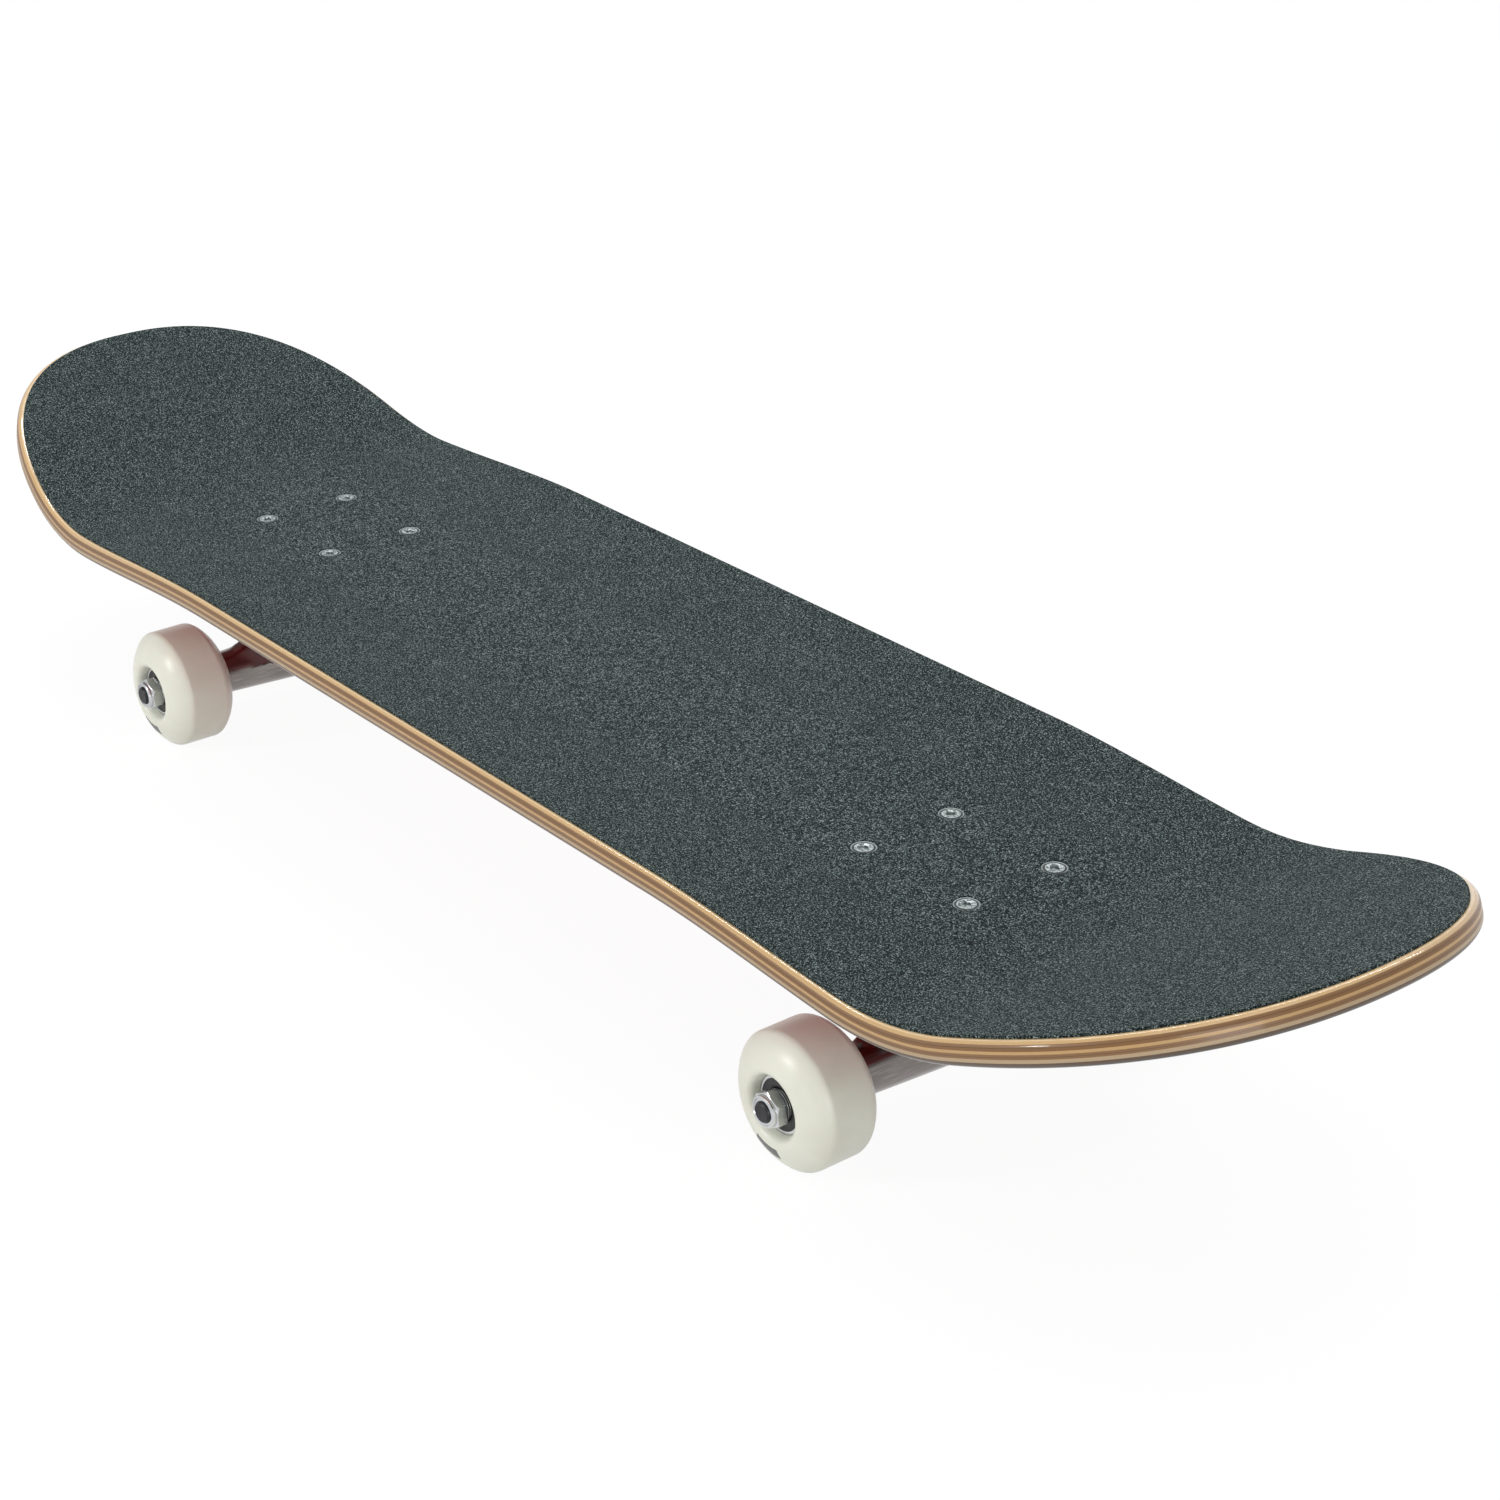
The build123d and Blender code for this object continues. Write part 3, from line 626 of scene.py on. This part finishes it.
MAPLE = ply_edge_finish()
GRIT = grit_finish()
POLISHED = polished_finish()
TUMBLED = metal_finish("tumbled_cast", srgb(158, 157, 156), srgb(138, 137, 136), 0.42, 1100.0, 0.3)
GROUND = metal_finish("ground_steel", srgb(206, 206, 206), srgb(186, 187, 188), 0.2, 1500.0, 0.06)
ZINC = metal_finish("zinc_plate", srgb(204, 205, 206), srgb(176, 178, 181), 0.22, 700.0, 0.03)
BLACK_STEEL = metal_finish("black_oxide", srgb(64, 64, 66), srgb(40, 40, 42), 0.36, 900.0, 0.1)
SHIELD = plain_finish("bearing_shield_black", srgb(34, 34, 36), 0.45)
CUP = plain_finish("cup_urethane", srgb(38, 38, 40), 0.5)
BUSHING = plain_finish("bushing_urethane", srgb(40, 40, 43), 0.42, 300.0)
NYLON = plain_finish("nylon_insert", srgb(40, 42, 44), 0.4)
BOLT_FACE = bolt_finish()


def dress(obj, *finishes):
    """Give a piece its finishes, one for each of its bands."""
    obj.data.materials.clear()
    for finish in finishes:
        obj.data.materials.append(finish)
    return obj


def fit(obj, body, slot, node, *finishes):
    """Finish one piece, let it ride on its body and stand in for its CAD node."""
    dress(obj, *finishes)
    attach(obj, body)
    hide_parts(node)


# ---------------------------------------------------------------- deck and grip
PATTERN_X, PATTERN_Y = 53.975 / 2, 41.275 / 2
BOLT_HEAD, BOLT_SHANK, HEAD_EDGE = 5.0, 2.4, 0.5    # radii, and the height of the head's rim
HEAD_DEPTH = HEAD_EDGE + (BOLT_HEAD - BOLT_SHANK) / math.tan(math.radians(41))
HEAD_RISE = 0.75                    # the head stands up into the grip sheet
HOLE_R, RECESS_R, GRIP_HOLE_R = BOLT_SHANK + 0.2, BOLT_HEAD + 0.1, 4.95


def bolt_places(end):
    """Plan places of one truck's four bolts."""
    return [(PLATE_X[end] + i * PATTERN_X, j * PATTERN_Y) for i in (-1, 1) for j in (-1, 1)]


def punched(obj, profile):
    """The sheet with a round hole at each bolt, shaped as the profile says."""
    places = [place for end in ENDS for place in bolt_places(end)]
    pins = joined("pins", [around("pin", profile, (x, y, 0), (0, 0, 1), 64) for x, y in places])
    cut = obj.modifiers.new("holes", "BOOLEAN")
    cut.operation = "DIFFERENCE"
    cut.solver = "EXACT"
    cut.object = pins
    ready = obj.evaluated_get(bpy.context.evaluated_depsgraph_get())
    done = bpy.data.meshes.new_from_object(ready)
    obj.modifiers.clear()
    obj.data = done
    bpy.data.objects.remove(pins)
    return obj


grip = slab("grip_sheet", GRIP_INSET, 0.0, GRIP - GLUE, 0.0, 44, 3)
below, above = RIDING_Z - 3, RIDING_Z + 3       # clear of the sheet
grip = punched(grip, [(0, below), (GRIP_HOLE_R, below), (GRIP_HOLE_R, above), (0, above)])
fit(grip, "deck_body", "grip", "grip_tape", GRIT)

deck = slab("deck_plies", 0.0, GRIP, GRIP + DECK, EDGE_ROUND, 34, 4)
below, above = BASE_TOP - 4, DECK_TOP + 2       # clear of the wood
deck = punched(deck, [(0, below), (HOLE_R, below), (HOLE_R, DECK_TOP - HEAD_DEPTH),
                      (RECESS_R, DECK_TOP - HEAD_EDGE), (RECESS_R, above), (0, above)])
fit(deck, "deck_body", "maple_deck", "deck", MAPLE)


# ---------------------------------------------------------------- nuts and bolts
Nut = namedtuple("Nut", "flats bore height crown")
LOCK_NUT = Nut(9.5, 2.45, 5.6, 1.5)
AXLE_NUT = Nut(12.7, 4.05, 6.5, 1.7)
KING_NUT = Nut(14.3, 4.8, 7.5, 2.0)
CHAMFER_START, CHAMFER_SLOPE = 0.97, 1.73   # share of the half flats, radius per height
PLATE = 6.5                                 # base plate's thickness
SOCKET = 1.6                                # half flats of a bolt's drive socket
NUT_LOW = BASE_TOP - PLATE - LOCK_NUT.height


def hexagon(a, half_flats):
    """Radius of a hexagon at an angle: half its flats over the cosine from a flat's middle."""
    return half_flats / np.cos((a + np.pi / 6) % (np.pi / 3) - np.pi / 6)


def drive_radius(a, r, _):
    """Hexagonal drive socket inside the head, left round elsewhere."""
    drive = np.minimum(hexagon(a, SOCKET), SOCKET / math.cos(math.pi / 6))
    return np.where((r > 1.5) & (r < 2.1), drive, r)


def bolt(x, y):
    """Countersunk machine screw: socket, rimmed head, cone, shank, rounded end."""
    top = DECK_TOP + HEAD_RISE
    profile = [(0, top - 0.9), (1.55, top - 0.9), (1.6, top - 0.25), (2.2, top - 0.02),
               (3.5, top), (3.75, top - 0.22), (4.2, top - 0.22), (4.45, top - 0.02), (4.7, top),
               (4.85, top - 0.12), (4.85, DECK_TOP - 0.02), (BOLT_HEAD, DECK_TOP - 0.1),
               (BOLT_HEAD, DECK_TOP - HEAD_EDGE), (BOLT_SHANK, DECK_TOP - HEAD_DEPTH),
               (BOLT_SHANK, NUT_LOW - 1.5), (BOLT_SHANK - 0.4, NUT_LOW - 2.0), (0, NUT_LOW - 2.0)]
    return around("bolt", profile, (x, y, 0), (0, 0, 1), 72, drive_radius, 28)


def hex_body(half, z0, z1):
    """Hex over the body's length with chamfered corners, round beyond it."""
    def reshape(a, r, h):
        low = half * CHAMFER_START + (h - z0) * CHAMFER_SLOPE
        high = half * CHAMFER_START + (z1 - h) * CHAMFER_SLOPE
        body = (r > half) & (h >= z0 - 1e-6) & (h <= z1 + 1e-6)
        return np.where(body, np.minimum(np.minimum(hexagon(a, half), low), high), r)
    return reshape


def lock_nut(name, origin, axis, nut, z0):
    """Hex lock nut from z0 along the axis, its crown and plastic insert at the far end."""
    z1 = z0 + nut.height - nut.crown
    half = nut.flats / 2
    corner = half / math.cos(math.pi / 6)
    ease = (corner - half * CHAMFER_START) / CHAMFER_SLOPE
    crown_r, bore = half - 0.35, nut.bore
    shares = (0.0, 0.25, 0.5, 0.75, 1.0)
    profile = [(bore, z0 + 0.4), (bore + 0.4, z0), (half * CHAMFER_START, z0)]
    profile += [(corner, z0 + ease * t) for t in shares[1:]]
    profile += [(corner, z1 - ease * t) for t in shares[::-1]]
    profile += [(crown_r, z1), (crown_r, z1 + nut.crown * 0.5),
                (crown_r - 0.15, z1 + nut.crown * 0.75), (crown_r - 0.5, z1 + nut.crown * 0.95),
                (crown_r - 1.0, z1 + nut.crown), (bore + 0.95, z1 + nut.crown),
                (bore + 0.7, z1 + nut.crown - 0.35), (bore, z1 + nut.crown - 0.4),
                (bore, z0 + 0.4)]
    bands = np.zeros(len(profile) - 1)
    bands[-4:-1] = 1                # the insert, in the nut's second finish
    return around(name, profile, origin, axis, 144, hex_body(half, z0, z1), 22, bands)


for end in ENDS:
    bolts = joined("bolts_" + end, [bolt(x, y) for x, y in bolt_places(end)], 28)
    fit(bolts, "deck_body", "zinc_hardware", "deck_bolts_" + end, BOLT_FACE)
    nuts = [lock_nut("nut", (x, y, 0), (0, 0, -1), LOCK_NUT, PLATE - BASE_TOP)
            for x, y in bolt_places(end)]
    nuts = joined("lock_nuts_" + end + "_seen", nuts, 22)
    fit(nuts, "deck_body", "zinc_nuts", "lock_nuts_" + end, ZINC, NYLON)


# ---------------------------------------------------------------- wheels and bearings
WHEEL_R, TREAD, LIP, HALF_W = 26.0, 8.5, 14.2, 16.0         # TREAD and HALF_W are half widths
SEAT_R, SEAT_HALF, CORE_R, CORE_HALF = 11.0, 12.0, 9.6, 5.0  # bearing seat, and core between
SHOULDER = 2.2
BEARING = 7.0
BORE, INNER_R, OUTER_R = 4.02, 12.1 / 2, 19.2 / 2    # inner ring's bore and outside, outer's inside


def wheel_section():
    """Closed section of a wheel: flat tread, rounded shoulder, bulged side, a lip that rolls
    into the bearing seat along a cubic curve, and the same mirrored."""
    corner = np.array([WHEEL_R, TREAD])
    side = arc((WHEEL_R, TREAD), (LIP, HALF_W), 1.3, 40)
    along = np.array(side[3]) - np.array(side[0])
    along = along / np.linalg.norm(along)
    half_turn = (math.pi / 2 - math.atan2(along[1], -along[0])) / 2
    reach = SHOULDER * math.tan(half_turn) + 0.4
    side = [q for q in side if np.hypot(q[0] - corner[0], q[1] - corner[1]) > reach]
    shoulder = quadratic(corner - np.array([0, reach]), corner, np.array(side[0]), 10)
    side = [q for q in side if q[0] > LIP + 1.6]
    roll = [np.array(q) for q in (side[-1], (LIP - 0.9, HALF_W + 0.55),
                                  (SEAT_R + 0.75, HALF_W - 0.6), (SEAT_R + 0.1, SEAT_HALF + 0.5))]
    t = np.linspace(0, 1, 18)[:, None]
    lip = ((1 - t) ** 3 * roll[0] + 3 * t * (1 - t) ** 2 * roll[1] + 3 * t * t * (1 - t) * roll[2]
           + t ** 3 * roll[3])
    half = [tuple(q) for q in shoulder] + side[1:-1] + [tuple(q) for q in lip]
    half += [(SEAT_R, SEAT_HALF - 0.2), (SEAT_R, CORE_HALF), (CORE_R, CORE_HALF)]
    return half + [(r, -h) for r, h in half[::-1]] + [half[0]]


def tube(inside, outside, z0, length, edge, n=5):
    """Section of a plain ring with eased edges."""
    z1 = z0 + length
    return rounded([(inside, z0), (outside, z0), (outside, z1), (inside, z1)], edge, n)


def shield(z0, face):
    """Pressed shield: flat ring with a raised bead round its middle and a turned-in lip."""
    inside, outside, bead = INNER_R + 0.3, OUTER_R - 0.02, (INNER_R + OUTER_R) / 2
    h = z0 + (0.4 if face < 0 else BEARING - 0.4)
    front = [(inside, h - 0.12 * face), (inside + 0.35, h), (bead - 0.75, h),
             (bead - 0.45, h - 0.14 * face), (bead + 0.45, h - 0.14 * face), (bead + 0.75, h),
             (outside - 0.3, h), (outside, h - 0.1 * face)]
    return front + [(outside, h - 0.5 * face), (inside, h - 0.5 * face), front[0]]


URETHANE = urethane_finish(run_at(wheel_section(), BAR_R))
for end in ENDS:
    for side, hand in ((1, "left"), (-1, "right")):
        tag = end + "_" + hand
        body = "wheel_body_" + tag
        centre, axis = (AXLE_X[end], side * WHEEL_Y, AXLE_Z), (0, side, 0)
        wheel = around("wheel_seen_" + tag, wheel_section(), centre, axis, 180, sharp=40)
        fit(wheel, body, "urethane_wheel", "wheel_" + tag, URETHANE)
        rings = [around("ring", tube(OUTER_R, SEAT_R - 0.01, z, BEARING, 0.3, 4), centre, axis, 128,
                        sharp=40) for z in (CORE_HALF, -SEAT_HALF)]
        rings = joined("outer_rings_seen_" + tag, rings, 40)
        fit(rings, body, "bearing_steel", "bearing_outer_rings_" + tag, GROUND)
        discs = [around("disc", shield(z, face), centre, axis, 128, sharp=25)
                 for z in (CORE_HALF, -SEAT_HALF) for face in (1, -1)]
        discs = joined("shields_seen_" + tag, discs, 25)
        fit(discs, body, "shield_black", "bearing_shields_" + tag, SHIELD)


# ---------------------------------------------------------------- axles
WASHER = 1.0                        # thickness of a speed washer
WASHER_BORE, WASHER_EDGE = 4.05, 6.25
SPACER_R = 5.15
AXLE_R = 3.98
HANGER_HALF = 131.0 / 2
INNER_START = HANGER_HALF + WASHER
OUTER_START = WHEEL_Y + CORE_HALF
NUT_START = OUTER_START + BEARING + WASHER
AXLE_HALF = NUT_START + AXLE_NUT.height + 0.6

for end in ENDS:
    middle_of_axle = (AXLE_X[end], 0.0, AXLE_Z)
    inner_rings, spacers, washers, nuts = [], [], [], []
    for side in (1, -1):
        out = (middle_of_axle, (0, side, 0))
        for z in (INNER_START, OUTER_START):
            section = tube(BORE, INNER_R, z, BEARING, 0.3, 4)
            inner_rings.append(around("ring", section, *out, 96, sharp=40))
        gap = INNER_START + BEARING
        section = tube(BORE, SPACER_R, gap, OUTER_START - gap, 0.2)
        spacers.append(around("spacer", section, *out, 64, sharp=40))
        for z in (HANGER_HALF, OUTER_START + BEARING):
            section = tube(WASHER_BORE, WASHER_EDGE, z, WASHER, 0.22)
            washers.append(around("washer", section, *out, 96, sharp=40))
        nuts.append(lock_nut("nut", *out, AXLE_NUT, NUT_START))
    body = "hanger_body_" + end
    fit(joined("inner_rings_seen_" + end, inner_rings, 40), body, "bearing_steel",
        "bearing_inner_rings_" + end, GROUND)
    fit(joined("spacers_seen_" + end, spacers, 40), body, "bearing_steel",
        "bearing_spacers_" + end, GROUND)
    fit(joined("speed_washers_seen_" + end, washers, 40), body, "zinc_hardware",
        "speed_washers_" + end, ZINC)
    fit(joined("axle_nuts_seen_" + end, nuts, 22), body, "zinc_nuts",
        "axle_nuts_" + end, ZINC, NYLON)
    tip = [(0, AXLE_HALF), (3.3, AXLE_HALF), (3.6, AXLE_HALF - 0.2), (AXLE_R, AXLE_HALF - 0.75)]
    rod = tip + [(r, -h) for r, h in tip[::-1]]
    axle = around("axle_seen_" + end, rod, middle_of_axle, (0, 1, 0), 72, sharp=30)
    fit(axle, body, "dark_steel", "axle_" + end, BLACK_STEEL)


# ---------------------------------------------------------------- trucks
# A truck's own frame: X outboard, Z up, origin on the base plate's top over the bolt pattern.
LEAN = math.radians(22)
KING = np.array([-math.sin(LEAN), 0.0, -math.cos(LEAN)])     # down the kingpin
SEAT = np.array([-13.0, 0.0, -12.9])                         # kingpin's seat in the base plate
RING_MIDDLE = SEAT + KING * 18.45                            # middle of the hanger's ring
PIVOT = np.array([24.0, 0.0, -10.9])
BUSH_BORE, BUSH_R, BUSH_TIP_R = 4.95, 11.75, 9.4
BOARD_BUSH, ROAD_BUSH = (1.2, 15.7), (21.2, 31.8)            # heights along the kingpin
WASHER_R = {"board": 12.27, "road": 10.32}
CUP_WASHER = 1.2                                             # its thickness
KING_R, KING_HEAD_R = 4.75, 7.8
KING_HEAD, KING_FLOOR = 5.0, 3.3                             # head, and metal under it
KING_NUT_START = 33.0
KING_END = KING_NUT_START + KING_NUT.height + 1.5


def in_board(end, point):
    """A point or direction of a truck's own frame in the board's, turned round at the tail."""
    turn = 1.0 if end == "front" else -1.0
    return np.array([turn * point[0], turn * point[1], point[2]])


def on_truck(end, point):
    """A place of a truck's own frame, in the board's."""
    return np.array([PLATE_X[end], 0.0, BASE_TOP]) + in_board(end, point)


def on_kingpin(end, h):
    """A point on the kingpin's line, h below its seat."""
    return on_truck(end, SEAT + KING * h)


def bush(start, stop, r0, r1):
    """Bushing: domed faces near the bore, barrelled side with eased edges."""
    side = arc((r0 - 0.05, start + 0.5), (r1 - 0.05, stop - 0.5), 0.6, 16)
    top = [(BUSH_BORE, start), (r0 - 0.7, start), (r0 - 0.2, start + 0.15)]
    low = [(r1 - 0.2, stop - 0.15), (r1 - 0.7, stop), (BUSH_BORE, stop), (BUSH_BORE, start)]
    return top + side + low


def cup_washer(h, up, radius):
    """Pressed washer whose rim turns up round the bushing."""
    base = h if up > 0 else h + CUP_WASHER
    points = [(BUSH_BORE, 0), (radius + 0.6, 0), (radius + 0.98, 0.15), (radius + 1.1, 0.5),
              (radius + 1.1, 2.5), (radius + 0.95, 2.7), (radius + 0.1, 2.7), (radius, 2.5),
              (radius, 1.5), (radius - 0.3, CUP_WASHER), (BUSH_BORE, CUP_WASHER), (BUSH_BORE, 0)]
    return [(r, base + up * z) for r, z in points]


def kingpin():
    """Round head over the seat, shank, and an eased end past the nut."""
    top, edge = -KING_FLOOR - KING_HEAD, KING_HEAD_R
    return [(0, top), (edge - 0.8, top), (edge - 0.1, top + 0.4), (edge, top + 1.1),
            (edge, -KING_FLOOR), (KING_R, -KING_FLOOR), (KING_R, KING_END - 0.8),
            (KING_R - 0.55, KING_END), (0, KING_END)]


def pivot_cup():
    """Round cup: half a ball inside, a straight mouth, and half a ball outside."""
    ball, mouth, outside, deep = 4.68, 5.83, 7.48, 8.5
    inner = [(ball * math.sin(t), -ball * math.cos(t)) for t in np.linspace(0, math.pi / 2, 12)]
    outer = [(outside * math.sin(t), -outside * math.cos(t))
             for t in np.linspace(math.pi / 2, 0, 14)]
    return inner + [(mouth, deep - 0.3), (mouth + 0.2, deep), (outside - 0.18, deep),
                    (outside, deep - 0.2)] + outer


def spring(obj, node):
    """Finish a bushing, bake its place into its mesh and let it stand in for its CAD node."""
    dress(obj, BUSHING)
    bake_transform(obj)
    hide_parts(node)


for end in ENDS:
    king = (on_kingpin(end, 0.0), in_board(end, KING))
    rubber = around("bushing_board_seen_" + end, bush(*BOARD_BUSH, BUSH_R, BUSH_R), *king, 96,
                    sharp=45)
    spring(rubber, "bushing_board_side_" + end)
    rubber = around("bushing_road_seen_" + end, bush(*ROAD_BUSH, BUSH_R, BUSH_TIP_R), *king, 96,
                    sharp=45)
    spring(rubber, "bushing_road_side_" + end)
    for side, h, up in (("board", 0.0, 1), ("road", ROAD_BUSH[1], -1)):
        washer = around("washer_" + side + "_seen_" + end, cup_washer(h, up, WASHER_R[side]),
                        *king, 96, sharp=35)
        fit(washer, "deck_body", "zinc_hardware", "washer_" + side + "_side_" + end, ZINC)
    nut = lock_nut("king_nut_seen_" + end, *king, KING_NUT, KING_NUT_START)
    fit(nut, "deck_body", "zinc_nuts", "kingpin_nut_" + end, ZINC, NYLON)
    pin = around("kingpin_seen_" + end, kingpin(), *king, 72, sharp=30)
    fit(pin, "deck_body", "dark_steel", "kingpin_" + end, BLACK_STEEL)
    steer = RING_MIDDLE - PIVOT
    steer = in_board(end, steer / np.linalg.norm(steer))
    cup = around("pivot_cup_seen_" + end, pivot_cup(), on_truck(end, PIVOT), steer, 72, sharp=35)
    fit(cup, "deck_body", "pivot_cup_plastic", "pivot_cup_" + end, CUP)


# ---------------------------------------------------------------- castings
SKIN_PITCH = 0.8


def cast_copy(node, name, passes):
    """The casting's own surface, remeshed fine and smoothed as a polished casting is."""
    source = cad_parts[node]
    mesh = source.data.copy()
    mesh.transform(source.matrix_world)
    obj = closed(name, mesh, 40)
    skin = obj.modifiers.new("skin", "REMESH")
    skin.mode = "VOXEL"
    skin.voxel_size = SKIN_PITCH * MM
    skin.use_smooth_shade = True
    ease = obj.modifiers.new("ease", "SMOOTH")
    ease.factor = 0.5
    ease.iterations = passes
    return obj


for end in ENDS:
    hanger = cast_copy("hanger_" + end, "hanger_seen_" + end, 8)
    fit(hanger, "hanger_body_" + end, "polished_aluminium", "hanger_" + end, POLISHED)
    plate = cast_copy("baseplate_" + end, "baseplate_seen_" + end, 5)
    fit(plate, "deck_body", "cast_aluminium", "baseplate_" + end, TUMBLED)


# ---------------------------------------------------------------- camera
def look(location, back, roll, lens, shift_x, shift_y):
    """Camera at a place, looking against back, rolled about its own line of sight."""
    back = Vector(back).normalized()
    level = Vector((-back.y, back.x, 0)).normalized()
    plumb = back.cross(level)
    right = level * math.cos(roll) + plumb * math.sin(roll)
    up = plumb * math.cos(roll) - level * math.sin(roll)
    data = bpy.data.cameras.new("camera")
    data.lens = lens
    data.sensor_width = 36
    data.shift_x = shift_x
    data.shift_y = shift_y
    data.clip_start = 0.01
    data.clip_end = 50
    camera = bpy.data.objects.new("camera", data)
    turn = Matrix((right, up, back)).transposed().to_4x4()
    turn.translation = Vector(location)
    camera.matrix_world = turn
    bpy.context.scene.collection.objects.link(camera)
    bpy.context.scene.camera = camera


look((0.8870, -0.6231, 0.5702), (0.7053, -0.5579, 0.4373), math.radians(-0.58),
     lens=71.1, shift_x=-0.00907, shift_y=0.0083)


# ---------------------------------------------------------------- floor, world and lights
WHITE = (1.0, 1.0, 1.0)
FLOOR_HALF = 6.0                    # metres
FLOOR_DROP = 0.0002                 # metres from the wheels down to the floor


def pale_floor():
    """White floor that mostly glows evenly, so that the shadow on it stays faint."""
    f = Finish("pale_floor")
    soft = f.noise(f.place("Object"), 3.0, 2.0, 0.5)
    matt = f.lit(colour=f.mix(soft, (0.80, 0.80, 0.80), (0.82, 0.82, 0.82)), rough=0.9, spec=0.0)
    glow = f.node("ShaderNodeEmission", None, {"Color": WHITE, "Strength": 1.04})
    both = f.node("ShaderNodeMixShader", None, [f.seen() * 0.9, matt, glow])
    f.end_with("ShaderNodeOutputMaterial", both)
    return f.mat


def floor_sheet():
    """Flat square floor just under the wheels."""
    line = np.linspace(-FLOOR_HALF, FLOOR_HALF, 8)
    x, y = np.meshgrid(line, line, indexing="ij")
    return sheet_of("floor", np.stack([x, y, np.full_like(x, -FLOOR_DROP)], -1))


def white_room(level):
    """World that is white to the eye and in reflections, and lights the room at a lower level."""
    world = bpy.data.worlds.new("white_room")
    world.use_nodes = True
    room = Graph(world.node_tree)
    walls = [room.node("ShaderNodeBackground", None, {"Color": WHITE, "Strength": strength})
             for strength in (level, 1.0)]
    both = room.node("ShaderNodeMixShader", None, [room.seen(), *walls])
    room.end_with("ShaderNodeOutputWorld", both)
    return world


def panel(name, place, target, size, power):
    """Soft rectangular lamp aimed at a point."""
    data = bpy.data.lights.new(name, "AREA")
    data.shape = "RECTANGLE"
    data.size, data.size_y = size
    data.energy = power
    lamp = bpy.data.objects.new(name, data)
    lamp.location = Vector(place)
    aim = Vector(target) - Vector(place)
    lamp.rotation_euler = aim.to_track_quat("-Z", "Y").to_euler()
    bpy.context.scene.collection.objects.link(lamp)


floor = dress(floor_sheet(), pale_floor())
bpy.context.scene.world = white_room(0.6)
panel("over", (0.3, -0.2, 1.9), (0, 0, 0.05), (1.5, 1.1), 6)
panel("near_left", (-0.6, -1.9, 0.9), (0.1, 0, 0.03), (0.3, 0.3), 14)
panel("far_strip", (-0.48, 0.88, 1.41), (0.3, -0.03, 0.11), (2.2, 0.06), 12)
panel("low_front", (2.0, -1.1, 0.3), (0.2, -0.08, 0.03), (1.2, 0.4), 9.5)

scene = bpy.context.scene
scene.view_settings.view_transform = "Standard"
scene.view_settings.look = "None"
